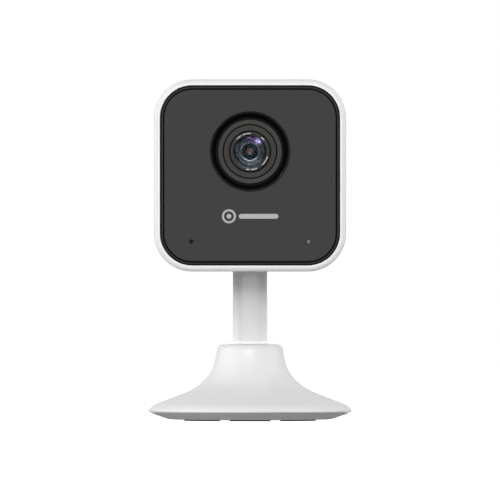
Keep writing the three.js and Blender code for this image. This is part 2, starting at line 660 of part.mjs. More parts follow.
// A block bored for the barrel, with a slot across it for the filter carriage and a chamber behind.
function lensHolder() {
  const { front, back, halfWidth, halfHeight } = HOLDER;
  const slotFront = FILTER.front - 0.3;
  const slotBack = FILTER.back + 0.3;
  const slotHalf = FILTER.height / 2 + 0.2;
  return cut(
    box(-halfWidth, halfWidth, front, back, -halfHeight, halfHeight),
    rodAlongY(BARREL_RADIUS - 0.1, front - OVER, FILTER.front, 0, 0, 28),
    box(-halfWidth - OVER, halfWidth + OVER, slotFront, slotBack, -slotHalf, slotHalf),
    box(-halfWidth / 2, halfWidth / 2, slotBack - 0.2, back + OVER, -slotHalf, slotHalf));
}

function filterCarriage() {
  const { travel, window, front, back, height, border } = FILTER;
  const shape = roundedRect(travel + window + 2 * border, height, 0.8, travel / 2, 0);
  for (const x of [0, travel]) shape.holes.push(roundedRect(window, window, 0.4, x, 0));
  return slab(shape, front, back, { curveSegments: 3 });
}

function filterGlassAt(x) {
  return block(x, 0, FILTER.glass, FILTER.glass, FILTER.front + 0.2, FILTER.back - 0.2);
}

function filterMotor() {
  const leverPin = alongX(rod(1, 4, 6, 12)).translate(0, -8.6, 11.6);
  return join(block(-2, 11.6, 12, 5.6, -11.6, -5.6), leverPin);
}

place(lens, 'lens_surround', surround, blackPlastic);
place(lens, 'lens_trim_ring', trimRing, darkRing);
place(lens, 'lens_barrel', barrel, blackPlastic);
place(lens, 'lens_retainer', retainer, darkRing);
place(lens, 'front_lens', frontLens, lensGlass);
place(lens, 'middle_lens', middleLens, lensGlass);
place(lens, 'aperture_disc', apertureDisc, blackPlastic);
place(lens, 'rear_lens', rearLens, lensGlass);
place(lens, 'lens_holder', lensHolder(), blackPlastic);
place(lens, 'filter_carriage', filterCarriage(), blackPlastic);
place(lens, 'ir_cut_glass', filterGlassAt(0), filterGlass);
place(lens, 'clear_glass', filterGlassAt(FILTER.travel), lensGlass);
place(lens, 'filter_motor', filterMotor(), chip);
place(lens, 'image_sensor', block(0, 0, 8, 8, -6, MAIN_BOARD.front - SEAT), chip);

// ---- Boards and what they carry ----

function mainBoard() {
  const shape = roundedRect(MAIN_BOARD.width, MAIN_BOARD.height, 2, 0, MAIN_BOARD.z);
  for (const [x, z] of boardScrewPlaces) {
    const hole = new THREE.Path();
    shape.holes.push(hole.absarc(x, z, BOARD_BOSS.clearance, 0, FULL));
  }
  return slab(shape, MAIN_BOARD.front, MAIN_BOARD.back, { curveSegments: 4 });
}

function ledBoard() {
  const shape = roundedRect(LED_BOARD.width, LED_BOARD.width, 7);
  const hole = new THREE.Path();
  shape.holes.push(hole.absarc(0, LENS_Z, 7.2, 0, FULL));
  const sheet = slab(shape, LED_BOARD.front, LED_BOARD.back, { curveSegments: 6 });
  const notchRadius = HOUSING_POST.radius + 0.4;
  const postNotches = [-HOUSING_SCREW_X, HOUSING_SCREW_X].map((x) =>
    rodAlongY(notchRadius, LED_BOARD.front - OVER, LED_BOARD.back + OVER, x, HOUSING_SCREW_Z));
  return cut(sheet, ...postNotches);
}

function portBoard() {
  const { width, bottom, thickness, front, back } = PORT_BOARD;
  const half = width / 2;
  const notch = SLOT_HALF_WIDTH + SLOT_WALL + 0.5;
  const notchFront = -SLOT_RADIUS - SLOT_WALL - 0.8;
  return cut(box(-half, half, front, back, bottom, bottom + thickness),
    box(-notch, notch, notchFront, back + OVER, bottom - OVER, bottom + thickness + OVER));
}

function heatSpreader() {
  const fins = [-10, -5, 0, 5, 10].map((x) => box(x - 0.5, x + 0.5, -1.5, 0.6, -3, 17));
  return join(box(-12, 12, -2.1, -1.1, -3.5, 17.5), ...fins);
}

function infraredLed() {
  const domeOutline = [[0, -1.7], [0.8, -1.55], [1.3, -1.15], [1.45, -0.6], [1.45, -0.3], [0, -0.3]];
  return join(block(0, 0, 3.5, 3.5, -0.8, 0), alongLens(domeOutline, 16));
}

const statusPipe = alongLens([
  [0, PANEL_FRONT + 0.1], [0.55, PANEL_FRONT + 0.1], [0.55, -16.5], [1.4, -16.5], [1.4, -15.6], [0, -15.6],
], 20);

const speaker = alongLens([
  [0, 2.2], [6.5, 2.2], [6.5, 3.8], [8.2, 4.4], [SPEAKER.radius, 4.4], [SPEAKER.radius, 6.1], [8.8, 6.1],
  [8.2, 5.6], [5, 5.2], [0, 5.7],
], 24);

function resetButton() {
  const { radius, flange } = RESET;
  return alongLens([
    [0, 0.9], [1.1, 0.9], [1.1, 5.4], [flange, 5.4], [flange, 6.3], [radius, 6.3],
    [radius, HEAD_BACK - 0.35], [radius - 0.25, HEAD_BACK - 0.1], [0, HEAD_BACK - 0.1],
  ], 24).translate(RESET.x, 0, RESET.z);
}

function usbSocket() {
  const { x, z } = PORT;
  const mouth = block(x, z, 6.9, 1.9, -1, 4);
  const tongue = block(x, z + 0.35, 4.4, 0.5, -2, 3);
  return join(cut(block(x, z, 7.6, 2.8, -3, 3.7), mouth), tongue);
}

function cardSocket() {
  const { x, z } = CARD_SLOT;
  return cut(block(x, z, 13.4, 1.7, -8.5, 6.2), block(x, z, CARD.width, CARD.height, -7.5, 7));
}

function antennaCable() {
  const route = new THREE.CatmullRomCurve3([
    new THREE.Vector3(-8, -4.5, 26.8),
    new THREE.Vector3(-11, -5.2, 26.2),
    new THREE.Vector3(-13.5, -5.8, 23.5),
    new THREE.Vector3(-14, -5.8, 19.5),
    new THREE.Vector3(-14, -5.6, 15),
  ]);
  const section = new THREE.Shape();
  section.absarc(0, 0, 0.5, 0, FULL);
  return new THREE.ExtrudeGeometry(section, { steps: 14, extrudePath: route, curveSegments: 4 });
}

place(head, 'main_board', mainBoard(), board);
place(head, 'processor', block(0, LENS_Z, 12, 12, MAIN_BOARD.back + SEAT, -2.15), chip);
place(head, 'heat_spreader', heatSpreader(), aluminium);
place(head, 'led_board', ledBoard(), board);
for (const [side, x] of [['left', -18.5], ['right', 18.5]]) {
  place(head, `ir_led_${side}`, infraredLed().translate(x, LED_BOARD.front - SEAT, LENS_Z), diffuser);
}
place(head, 'light_sensor', block(9, 22.5, 2.4, 1.8, -15.6, LED_BOARD.front - SEAT), chip);
const onLedBoard = LED_BOARD.front - SEAT;
place(head, 'status_led', block(SMALL_HOLE_X, SMALL_HOLE_Z, 1.6, 0.8, -15.4, onLedBoard), diffuser);
place(head, 'status_light_pipe', statusPipe.translate(SMALL_HOLE_X, 0, SMALL_HOLE_Z), diffuser);
place(head, 'microphone', block(-SMALL_HOLE_X, SMALL_HOLE_Z, 3.5, 2.7, -15.8, onLedBoard), steel);
place(head, 'port_board', portBoard(), board);
place(head, 'usb_socket', usbSocket(), steel);
place(head, 'card_socket', cardSocket(), steel);
place(head, 'reset_button', resetButton(), blackPlastic);
place(head, 'reset_switch', join(
  block(RESET.x, RESET.z, 4.5, 4.5, MAIN_BOARD.back + SEAT, -0.8),
  rodAlongY(1, -1, 0.3, RESET.x, RESET.z, 12)), chip);
place(head, 'speaker', speaker.translate(0, 0, SPEAKER.z), blackPlastic);
place(head, 'wifi_antenna', box(-12, 12, -10, -2, 27.5, 27.8), copper);
place(head, 'antenna_cable', antennaCable(), chip);

// ---- Fasteners of the head ----

// The housing screws go in from the back, and the board screws from the front.
[-HOUSING_SCREW_X, HOUSING_SCREW_X].forEach((x, i) => {
  const headY = HOUSING_BOSS.seat + SEAT + HOUSING_SCREW.headHeight;
  const geometry = screw(HOUSING_SCREW).rotateX(QUARTER).translate(x, headY, HOUSING_SCREW_Z);
  place(head, `housing_screw_${i + 1}`, geometry, steel);
});
boardScrewPlaces.slice(2).forEach(([x, z], i) => {
  const headY = MAIN_BOARD.front - SEAT - BOARD_SCREW.headHeight;
  const geometry = screw(BOARD_SCREW).rotateX(-QUARTER).translate(x, headY, z);
  place(head, `board_screw_${i + 1}`, geometry, steel);
});

// ---- Tilt hinge ----

const pin = turned([
  [0, -10.2], [2, -10.2], [2.7, -9.6], [2.7, -8], [PIN_RADIUS, -8], [PIN_RADIUS, PIN_END], [0, PIN_END],
], { segments: 24 });
const nut = cut(
  rod(NUT.radius, NUT.start, NUT.end, 6),
  rod(PIN_RADIUS + SEAT, NUT.start - OVER, NUT.end + OVER));

place(head, 'hinge_pin', atHinge(pin), steel);
place(head, 'hinge_nut', atHinge(nut), steel);
for (const [side, start] of [['left', -SLOT_HALF_WIDTH], ['right', KNUCKLE_WIDTH / 2]]) {
  const washer = ring(PIN_RADIUS + SEAT, WASHER_RADIUS, start + SEAT, start + WASHER_BACK, 20);
  place(head, `friction_washer_${side}`, atHinge(washer), nylon);
}

export default assembly;
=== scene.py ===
"""Indoor security camera: the looks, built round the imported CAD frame. Metres, +Z up, lens along -Y."""
import json
import math

import bmesh
import bpy
from mathutils import Matrix, Vector


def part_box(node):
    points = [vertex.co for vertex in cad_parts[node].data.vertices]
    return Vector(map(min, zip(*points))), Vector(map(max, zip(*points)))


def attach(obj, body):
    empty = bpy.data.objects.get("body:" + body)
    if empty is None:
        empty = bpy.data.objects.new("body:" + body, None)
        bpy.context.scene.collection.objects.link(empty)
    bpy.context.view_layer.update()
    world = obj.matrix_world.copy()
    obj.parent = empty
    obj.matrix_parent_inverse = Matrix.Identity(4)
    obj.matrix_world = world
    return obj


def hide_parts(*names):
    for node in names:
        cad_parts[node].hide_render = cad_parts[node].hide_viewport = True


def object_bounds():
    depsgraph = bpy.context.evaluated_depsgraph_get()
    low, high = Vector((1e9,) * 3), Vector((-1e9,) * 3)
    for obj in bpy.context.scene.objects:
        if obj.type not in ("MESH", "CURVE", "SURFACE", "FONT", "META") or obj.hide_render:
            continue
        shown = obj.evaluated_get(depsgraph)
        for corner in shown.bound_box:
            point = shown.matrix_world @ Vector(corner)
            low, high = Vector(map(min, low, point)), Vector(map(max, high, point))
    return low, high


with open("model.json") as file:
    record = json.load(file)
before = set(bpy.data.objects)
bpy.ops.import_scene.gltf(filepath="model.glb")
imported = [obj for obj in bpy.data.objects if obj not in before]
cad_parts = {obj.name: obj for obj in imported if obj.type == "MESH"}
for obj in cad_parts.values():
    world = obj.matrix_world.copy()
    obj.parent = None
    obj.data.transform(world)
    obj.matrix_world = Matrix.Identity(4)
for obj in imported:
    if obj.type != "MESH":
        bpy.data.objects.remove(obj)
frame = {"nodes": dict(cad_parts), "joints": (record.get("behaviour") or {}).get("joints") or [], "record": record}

MM = 0.001
cad_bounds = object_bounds()

# ---- Sizes that the frame gives ----

head_low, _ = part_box("front_housing")
back_low, back_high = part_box("rear_housing")
panel_low, panel_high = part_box("front_panel")
glass_low, glass_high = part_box("front_lens")
surround_low, surround_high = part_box("lens_surround")
trim_low, trim_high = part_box("lens_trim_ring")
barrel_low, barrel_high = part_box("lens_barrel")
foot_low, foot_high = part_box("base_shell")
_, cover_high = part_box("base_bottom")

HEAD_Z = (back_low.z + back_high.z) / 2
HEAD_HALF = (back_high.x - back_low.x) / 2
HEAD_CORNER = 12 * MM
LENS_Z = (glass_low.z + glass_high.z) / 2
HINGE_Z = next(j for j in frame["joints"] if j["name"] == "head_tilt")["pos_m"][2]

SMALLEST_CORNER = 0.4 * MM
SHARP_ANGLE = math.radians(32)

CORNER_STEPS = 20
ARC_STEPS = 6
ROUND_STEPS = 96


def mm(*sizes):
    """Sizes or a point, given in millimetres."""
    return tuple(size * MM for size in sizes)


# ---- Outlines ----

def rounded(outline, closed=True, steps=ARC_STEPS):
    """Points of an outline of (u, v, radius) corners, each corner turned into an arc of its radius."""
    points = []
    count = len(outline)
    for i, (u, v, radius) in enumerate(outline):
        if radius == 0 or not closed and i in (0, count - 1):
            points.append((u, v))
            continue
        here = Vector((u, v))
        before = (Vector(outline[i - 1][:2]) - here).normalized()
        after = (Vector(outline[(i + 1) % count][:2]) - here).normalized()
        half = before.angle(after) / 2
        centre = here + (before + after).normalized() * radius / math.sin(half)
        first = here + before * radius / math.tan(half) - centre
        turn = first.angle_signed(here + after * radius / math.tan(half) - centre)
        for k in range(steps + 1):
            spoke = Matrix.Rotation(-turn * k / steps, 2) @ first
            points.append(tuple(centre + spoke))
    return points


def bezier(start, first, second, end, steps):
    """Points of one cubic stretch, its start left out."""
    points, corners = [], (start, first, second, end)
    for k in range(1, steps + 1):
        t = k / steps
        s = 1 - t
        weights = (s ** 3, 3 * s * s * t, 3 * s * t * t, t ** 3)
        points.append(tuple(sum(w * c[axis] for w, c in zip(weights, corners)) for axis in (0, 1)))
    return points


def arc(radius, start, end, steps, centre=(0, 0)):
    """Points along an arc from one angle to another, with both its ends."""
    angles = [start + (end - start) * k / steps for k in range(steps + 1)]
    return [(centre[0] + radius * math.cos(a), centre[1] + radius * math.sin(a)) for a in angles]


def circle(radius, steps=ROUND_STEPS):
    """Points round a circle, centred on the origin."""
    return arc(radius, 0, 2 * math.pi, steps)[:-1]


def rounded_rectangle(width, height, radius, steps=CORNER_STEPS):
    """Points round a rectangle with round corners, centred on the origin."""
    points = []
    for quarter, (side, up) in enumerate(((1, 1), (-1, 1), (-1, -1), (1, -1))):
        centre = (side * (width / 2 - radius), up * (height / 2 - radius))
        points += arc(radius, quarter * math.pi / 2, (quarter + 1) * math.pi / 2, steps, centre)
    return points


def band(inner, outer, low, high):
    """Corners of a rectangle between two radii and two heights."""
    return [(inner, low), (outer, low), (outer, high), (inner, high)]


# ---- Meshes ----

def skin(rings, closed=False, capped=False):
    """A mesh that joins rings of points with faces. A ring of one point is a pole.

    Closed joins the last ring to the first, and capped fills both of them instead.
    """
    bm = bmesh.new()
    loops = [[bm.verts.new(point) for point in ring] for ring in rings]
    pairs = list(zip(loops, loops[1:]))
    if closed:
        pairs.append((loops[-1], loops[0]))
    for low, high in pairs:
        count = max(len(low), len(high))
        for i in range(count):
            j = (i + 1) % count
            corners = (low[i % len(low)], low[j % len(low)], high[j % len(high)], high[i % len(high)])
            distinct = list(dict.fromkeys(corners))
            if len(distinct) > 2:
                bm.faces.new(distinct)
    if capped:
        bm.faces.new(loops[0])
        bm.faces.new(loops[-1])
    return bm


def turned(outline, axis="Z", centre=(0, 0, 0), steps=ROUND_STEPS, closed=True):
    """A mesh of revolution from (radius, height) points, round the Z axis or along Y."""
    rings = []
    for radius, height in outline:
        flat = circle(radius, steps) if radius > 0 else [(0.0, 0.0)]
        points = [(u, v, height) if axis == "Z" else (u, height, v) for u, v in flat]
        rings.append([Vector(point) + Vector(centre) for point in points])
    on_axis = len(rings[0]) == 1 and len(rings[-1]) == 1
    return skin(rings, closed=closed and not on_axis)


def prism(outline, front, back, centre=(0, 0), axis="Y"):
    """A solid of one outline, extruded along an axis."""
    place = {
        "Y": lambda u, v, w: (u + centre[0], w, v + centre[1]),
        "X": lambda u, v, w: (w, u + centre[0], v + centre[1]),
        "Z": lambda u, v, w: (u + centre[0], v + centre[1], w),
    }[axis]
    return skin([[place(u, v, w) for u, v in outline] for w in (front, back)], capped=True)


def square_loft(profile, closed):
    """Rounded squares round the head's middle, one for each (inset, y) of a profile."""
    rings = []
    for inset, y in profile:
        side = 2 * (HEAD_HALF - inset)
        outline = rounded_rectangle(side, side, max(HEAD_CORNER - inset, SMALLEST_CORNER))
        rings.append([(u, y, v + HEAD_Z) for u, v in outline])
    return skin(rings, closed=closed, capped=not closed)


def merged(parts):
    """One mesh out of several."""
    whole = bmesh.new()
    for part in parts:
        mesh = bpy.data.meshes.new("part")
        part.to_mesh(mesh)
        part.free()
        whole.from_mesh(mesh)
        bpy.data.meshes.remove(mesh)
    return whole


def new_object(name, data):
    """An object in the scene, made of a mesh, camera or light."""
    obj = bpy.data.objects.new(name, data)
    bpy.context.scene.collection.objects.link(obj)
    return obj


def to_object(name, bm):
    """An object made of a bmesh, with its faces turned outwards."""
    bmesh.ops.recalc_face_normals(bm, faces=bm.faces)
    mesh = bpy.data.meshes.new(name)
    bm.to_mesh(mesh)
    bm.free()
    return new_object(name, mesh)


def take_mesh(obj):
    """The mesh of an object that was only a step on the way, which goes."""
    bm = bmesh.new()
    bm.from_mesh(obj.data)
    bpy.data.objects.remove(obj)
    return bm


def apply_modifiers(obj):
    """Makes what an object's modifiers do part of its mesh."""
    bpy.context.view_layer.update()
    evaluated = obj.evaluated_get(bpy.context.evaluated_depsgraph_get())
    mesh = bpy.data.meshes.new_from_object(evaluated)
    obj.modifiers.clear()
    obj.data = mesh


def carve(obj, cutters, operation="DIFFERENCE"):
    """Cuts meshes out of an object, or joins them to it, one after the other."""
    for cutter_mesh in cutters:
        cutter = to_object("cutter", cutter_mesh)
        modifier = obj.modifiers.new("carve", "BOOLEAN")
        modifier.operation = operation
        modifier.solver = "EXACT"
        modifier.object = cutter
        apply_modifiers(obj)
        bpy.data.objects.remove(cutter)


def soften(obj, width, angle=35, segments=2):
    """Rounds the sharp edges of a mesh."""
    modifier = obj.modifiers.new("soften", "BEVEL")
    modifier.width = width
    modifier.segments = segments
    modifier.limit_method = "ANGLE"
    modifier.angle_limit = math.radians(angle)
    modifier.miter_outer = "MITER_ARC"
    apply_modifiers(obj)


def finish_piece(obj, body, material, replaces=()):
    """Gives a piece its material or materials, smooth shading and a body, and hides the CAD nodes it stands for.
    """
    mesh = obj.data
    mesh.materials.clear()
    materials = material if isinstance(material, (list, tuple)) else [material]
    for each in materials:
        mesh.materials.append(each)
    mesh.polygons.foreach_set("use_smooth", [True] * len(mesh.polygons))
    mesh.set_sharp_from_angle(angle=SHARP_ANGLE)
    normals = obj.modifiers.new("flat faces stay flat", "WEIGHTED_NORMAL")
    normals.keep_sharp = True
    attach(obj, body)
    if replaces:
        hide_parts(*replaces)
    return obj


# ---- Material nodes ----

EDGE_POINTINESS = (0.524, 0.58)


def grey(level):
    return (level, level, level)


def shade(colour, factor):
    """A colour made lighter or darker."""
    return tuple(min(1.0, channel * factor) for channel in colour)


class Graph:
    """A small helper that adds and links the nodes of one tree."""

    def __init__(self, tree):
        self.tree = tree

    def add(self, kind, inputs=None, **settings):
        node = self.tree.nodes.new(kind)
        for key, value in settings.items():
            setattr(node, key, value)
        for key, value in (inputs or {}).items():
            self.plug(node.inputs[key], value)
        return node

    def plug(self, socket, value):
        if isinstance(value, bpy.types.NodeSocket):
            self.tree.links.new(value, socket)
        else:
            socket.default_value = value

    def math(self, operation, *values):
        node = self.add("ShaderNodeMath", operation=operation)
        for socket, value in zip(node.inputs, values):
            self.plug(socket, value)
        return node.outputs[0]

    def remap(self, value, low, high, from_low=0.0, from_high=1.0):
        return self.add("ShaderNodeMapRange", {
            "Value": value, "From Min": from_low, "From Max": from_high, "To Min": low, "To Max": high,
        }).outputs[0]

    def ramp(self, factor, stops):
        node = self.add("ShaderNodeValToRGB", {"Fac": factor})
        elements = node.color_ramp.elements
        while len(elements) < len(stops):
            elements.new(0.5)
        for element, (position, colour) in zip(elements, stops):
            element.position = position
            element.color = (*colour, 1.0)
        return node.outputs["Color"]


class Nodes(Graph):
    """The nodes of one new material, round its Principled shader."""

    def __init__(self, name):
        self.material = bpy.data.materials.new(name)
        self.material.use_nodes = True
        super().__init__(self.material.node_tree)
        self.shader = self.tree.nodes["Principled BSDF"]
        self.coordinates = self.add("ShaderNodeTexCoord").outputs["Object"]

    def set(self, **values):
        for key, value in values.items():
            self.plug(self.shader.inputs[key.replace("_", " ")], value)
        return self

    def noise(self, scale, detail=3.0, roughness=0.55, stretch=None):
        vector = self.coordinates
        if stretch:
            vector = self.add("ShaderNodeMapping", {"Vector": vector, "Scale": stretch}).outputs[0]
        return self.add("ShaderNodeTexNoise", {
            "Vector": vector, "Scale": scale, "Detail": detail, "Roughness": roughness}).outputs["Fac"]

    def mix(self, factor, first, second):
        node = self.add("ShaderNodeMix", data_type="RGBA")
        self.plug(node.inputs[0], factor)
        for socket, value in ((node.inputs[6], first), (node.inputs[7], second)):
            self.plug(socket, (*value, 1.0) if isinstance(value, tuple) else value)
        return node.outputs[2]

    def bump(self, height, strength, distance):
        return self.add("ShaderNodeBump", {
            "Height": height, "Strength": strength, "Distance": distance}).outputs[0]

    def edges(self):
        """1 on the sharpest outer edges, 0 elsewhere."""
        pointiness = self.add("ShaderNodeNewGeometry").outputs["Pointiness"]
        return self.remap(pointiness, 0.0, 1.0, *EDGE_POINTINESS)


def moulded(name, colour, roughness, grain=2600.0, grain_depth=0.006 * MM, mottle=0.03, worn=None, **more):
    """Moulded plastic: fine spark-eroded grain, faint flow marks, and if worn, polished edges."""
    nodes = Nodes(name)
    flow = nodes.noise(90, 4, stretch=(1.0, 1.0, 0.35))
    grain_noise = nodes.noise(grain, 2, 0.6)
    body = nodes.mix(flow, shade(colour, 1 - mottle), shade(colour, 1 + mottle))
    gloss = nodes.remap(nodes.noise(220), roughness * 0.9, roughness * 1.12, 0.3, 0.7)
    if worn:
        edge = nodes.edges()
        body = nodes.mix(edge, body, shade(colour, worn))
        gloss = nodes.math("SUBTRACT", gloss, nodes.math("MULTIPLY", edge, roughness * 0.2))
    nodes.set(Base_Color=body, Roughness=gloss)
    nodes.set(Normal=nodes.bump(grain_noise, 0.25, grain_depth))
    return nodes.set(**more).material


def metal(name, colour, roughness, brushed=None):
    """Plated or brushed metal with fine lines, faint stains and brighter edges."""
    nodes = Nodes(name)
    lines = nodes.noise(900, 4, stretch=brushed)
    body = nodes.mix(nodes.noise(160), shade(colour, 0.86), shade(colour, 1.08))
    nodes.set(Base_Color=nodes.mix(nodes.edges(), body, shade(colour, 1.3)), Metallic=1.0)
    nodes.set(Roughness=nodes.remap(lines, roughness * 0.75, roughness * 1.3, 0.3, 0.7))
    nodes.set(Normal=nodes.bump(lines, 0.3, 0.01 * MM))
    return nodes.material


def make_board_material():
    """Circuit board: solder resist over copper tracks, with gold pads in the middle of square cells."""
    nodes = Nodes("circuit_board")
    cells = nodes.add("ShaderNodeTexVoronoi", {
        "Vector": nodes.coordinates, "Scale": 260.0, "Randomness": 0.35}, distance="CHEBYCHEV")
    tracks = nodes.ramp(cells.outputs["Distance"], [
        (0.0, grey(1)), (0.16, grey(1)), (0.2, grey(0)), (0.46, grey(0)), (0.52, grey(0.35))])
    resist = nodes.mix(tracks, (0.012, 0.09, 0.04), (0.03, 0.2, 0.085))
    pads = nodes.ramp(cells.outputs["Distance"], [(0.0, grey(1)), (0.09, grey(1)), (0.11, grey(0))])
    nodes.set(Base_Color=nodes.mix(pads, resist, (0.75, 0.55, 0.22)))
    nodes.set(Roughness=nodes.remap(nodes.noise(300), 0.3, 0.45))
    nodes.set(Metallic=nodes.math("MULTIPLY", pads, 0.8), Normal=nodes.bump(tracks, 0.4, 0.02 * MM))
    return nodes.material


def make_panel_material(name, tones, roughness, ior, cloud, smudge, grain, strength):
    """Dark infrared-passing plastic: deep, smoky and very finely textured."""
    nodes = Nodes(name)
    body = nodes.mix(nodes.noise(cloud), grey(tones[0]), grey(tones[1]))
    nodes.set(Base_Color=body, Roughness=nodes.remap(nodes.noise(smudge), *roughness), IOR=ior)
    nodes.set(Normal=nodes.bump(nodes.noise(grain, 2), strength, 0.004 * MM))
    return nodes.material


def radius_from_lens_axis(nodes):
    """Distance from the lens axis, in millimetres."""
    split = nodes.add("ShaderNodeSeparateXYZ", {"Vector": nodes.coordinates})
    up = nodes.math("SUBTRACT", split.outputs["Z"], LENS_Z)
    squared = nodes.math("ADD", nodes.math("POWER", split.outputs["X"], 2.0), nodes.math("POWER", up, 2.0))
    return nodes.math("DIVIDE", nodes.math("SQRT", squared), MM)


def make_barrel_material():
    """Anodised barrel: a satin front face, and inside it baffle rings in slate and blue-black that are painted
    reflection of the coated lens, set by radius.
    """
    nodes = Nodes("barrel_anodised_and_painted_reflections")
    radius = radius_from_lens_axis(nodes)
    # Colour by radius from the lens axis: the slate and blue-black rings are painted reflections of the coated
    # lens, and the rest is near black.
    colour = nodes.ramp(nodes.math("DIVIDE", radius, 7.0), [
        (0.37, (0.002, 0.003, 0.003)), (0.44, (0.012, 0.016, 0.022)), (0.54, (0.022, 0.028, 0.037)),
        (0.61, (0.014, 0.018, 0.024)), (0.64, (0.003, 0.005, 0.007)), (0.73, (0.003, 0.0045, 0.006)),
        (0.76, grey(0.006))])
    turned_lines = nodes.math("FRACT", nodes.math("MULTIPLY", radius, 5.0))
    speck = nodes.noise(1500)
    nodes.set(Base_Color=nodes.mix(nodes.math("MULTIPLY", speck, 0.05), colour, (0.06, 0.062, 0.065)))
    nodes.set(Roughness=nodes.remap(speck, 0.35, 0.5), IOR=1.3)
    nodes.set(Normal=nodes.bump(turned_lines, 0.12, 0.02 * MM))
    return nodes.material


def make_trim_material(name, level):
    """Trim rings: warm dark grey satin paint with fine turned lines and a faint iridescent haze."""
    nodes = Nodes(name)
    radius = radius_from_lens_axis(nodes)
    colour = nodes.ramp(nodes.noise(260, 2), [
        (0.3, shade((1.06, 0.95, 1.02), level)), (0.45, shade((1.0, 1.0, 0.95), level)),
        (0.6, shade((1.0, 1.04, 0.9), level)), (0.75, shade((0.92, 0.98, 1.05), level))])
    lines = nodes.math("FRACT", nodes.math("MULTIPLY", radius, 8.0))
    nodes.set(Base_Color=colour, Roughness=nodes.remap(nodes.noise(900), 0.42, 0.52), IOR=1.3)
    nodes.set(Normal=nodes.bump(lines, 0.08, 0.01 * MM))
    return nodes.material


def make_glass_material(name, tint, reflection, ior, roughness=0.02):
    """Coated optical glass: clear, with a coloured reflection from the coating and faint dust."""
    nodes = Nodes(name)
    dust = nodes.noise(700, 4)
    nodes.set(Base_Color=nodes.mix(dust, shade(tint, 0.98), tint))
    nodes.set(Roughness=nodes.remap(dust, roughness * 0.9, roughness * 1.2, 0.5, 0.8), IOR=ior)
    nodes.set(Transmission_Weight=1.0, Specular_Tint=(*reflection, 1.0))
    return nodes.material


white_plastic = moulded("white_plastic", (0.84, 0.84, 0.845), 0.36, grain=6500.0, grain_depth=0.0025 * MM)
grey_plastic = moulded("grey_plastic", grey(0.84), 0.55, grain_depth=0.01 * MM)
soft_black = moulded("soft_black_plastic", grey(0.012), 0.5, worn=1.6)
nylon = moulded("natural_nylon", (0.78, 0.76, 0.68), 0.45)
chip_plastic = moulded("chip_mould", (0.02, 0.02, 0.021), 0.5, grain_depth=0.02 * MM)
rubber = moulded("foot_rubber", (0.014, 0.014, 0.0145), 0.8, 1500.0, 0.05 * MM, mottle=0.1)
diffuser = moulded("diffuser_plastic", (0.24, 0.24, 0.238), 0.3, Transmission_Weight=0.1)
ink = moulded("pad_print_ink", grey(0.5), 0.5, grain_depth=0.01 * MM, mottle=0.05)
tick_ink = moulded("tick_ink", (0.86, 0.86, 0.84), 0.5, grain_depth=0.01 * MM, mottle=0.05)
zinc = metal("zinc_plated_steel", (0.62, 0.62, 0.63), 0.28)
brushed_steel = metal("brushed_steel", grey(0.6), 0.32, brushed=(1.0, 12.0, 1.0))
cast_aluminium = metal("cast_aluminium", (0.66, 0.66, 0.67), 0.42)
nickel = metal("nickel_plate", (0.55, 0.54, 0.52), 0.22)
copper = metal("copper_film", (0.6, 0.33, 0.2), 0.35)
# Near black: the real black of the lens recess and the aperture, and painted shade in the panel's groove and bores
# and on the trim ring's step and sides.
black_and_painted_shade = moulded("black_and_painted_shade", grey(0.0022), 0.35, IOR=1.2)
# Lighter than the recess black: a painted highlight on the recess's lip and sloping shoulder.
painted_lip_highlight = moulded("painted_lip_highlight", grey(0.016), 0.4, IOR=1.3)
pupil_metal = metal("polished_baffle", (0.1, 0.1, 0.105), 0.3)
board_material = make_board_material()
panel_face = make_panel_material(
    "panel_face", (0.0425, 0.0455), (0.34, 0.42), 1.4, cloud=60, smudge=400, grain=3200, strength=0.15)
panel_edge = make_panel_material(
    "panel_chamfer", (0.03, 0.034), (0.12, 0.18), 1.5, cloud=120, smudge=500, grain=900, strength=0.08)
barrel_material = make_barrel_material()
trim_material = make_trim_material("trim_ring_paint", 0.058)
retainer_material = make_trim_material("retainer_paint", 0.046)
ledge_material = make_trim_material("recess_floor_paint", 0.069)
front_glass = make_glass_material("front_lens_glass", (0.92, 0.95, 0.96), (0.11, 0.09, 0.21), 1.4, 0.16)
inner_glass = make_glass_material("inner_lens_glass", (0.9, 0.86, 0.82), (0.05, 0.5, 0.45), 1.3)
rear_glass = make_glass_material("rear_lens_glass", (0.9, 0.6, 0.45), (1.0, 0.82, 0.74), 1.9)
filter_glass = make_glass_material("filter_glass", (0.45, 0.85, 0.85), (0.9, 0.4, 0.4), 1.5)


# ---- Camera, lights and stage ----

VIEW_WIDTH = 2.45 * (foot_high.x - foot_low.x)
VIEW_HEIGHT = 0.5008 * cad_bounds[1].z
CAMERA_DISTANCE = 6.0
SENSOR_WIDTH = 36.0

# Each light: name, azimuth, elevation, distance, size, radiance, then what shows it, and its colour.
BODY_LIGHTS = (
    ("front_soft_box", -15, 0, 1.6, (1.3, 0.8), 4.8),
    ("left_soft_box", -65, 5, 1.4, (0.8, 0.9), 2.2),
    ("left_side_box", -85, 8, 1.4, (0.8, 0.9), 2.2),
    ("right_side_box", 80, 8, 1.4, (0.8, 0.9), 4.2),
)
BACK_LIGHT = ("back_soft_box", 180, 20, 1.6, (1.3, 0.9), 2.4)
STEM_LIGHTS = (
    ("tall_soft_box", -5, 43, 1.6, (0.6, 1.5), 6.2),
    ("high_left_box", -95, 30, 1.4, (0.8, 0.9), 6.5),
    ("high_right_box", 95, 30, 1.4, (0.8, 0.9), 5.0),
)
FRONT_CARD = ("front_card", 0, 4, 1.6, (0.5, 0.9), 7.0, "gloss")
STEM_CARD = ("stem_card", 0, 0, 1.6, (0.24, 1.4), 15.0, "gloss")
KEY_SPOT = ("key_spot", 25.0, 29.5, 0.9, 0.25, 190.0, "gloss")
SHEEN_BOX = ("sheen_box", 12, 37, 1.0, (1.0, 0.4), 10.0, "gloss", (1.0, 0.3, 0.65))
GLINT_BOX = ("glint_box", 0, 66, 1.0, (2.6, 0.7), 12.0, "glass", (0.96, 1.0, 1.0))

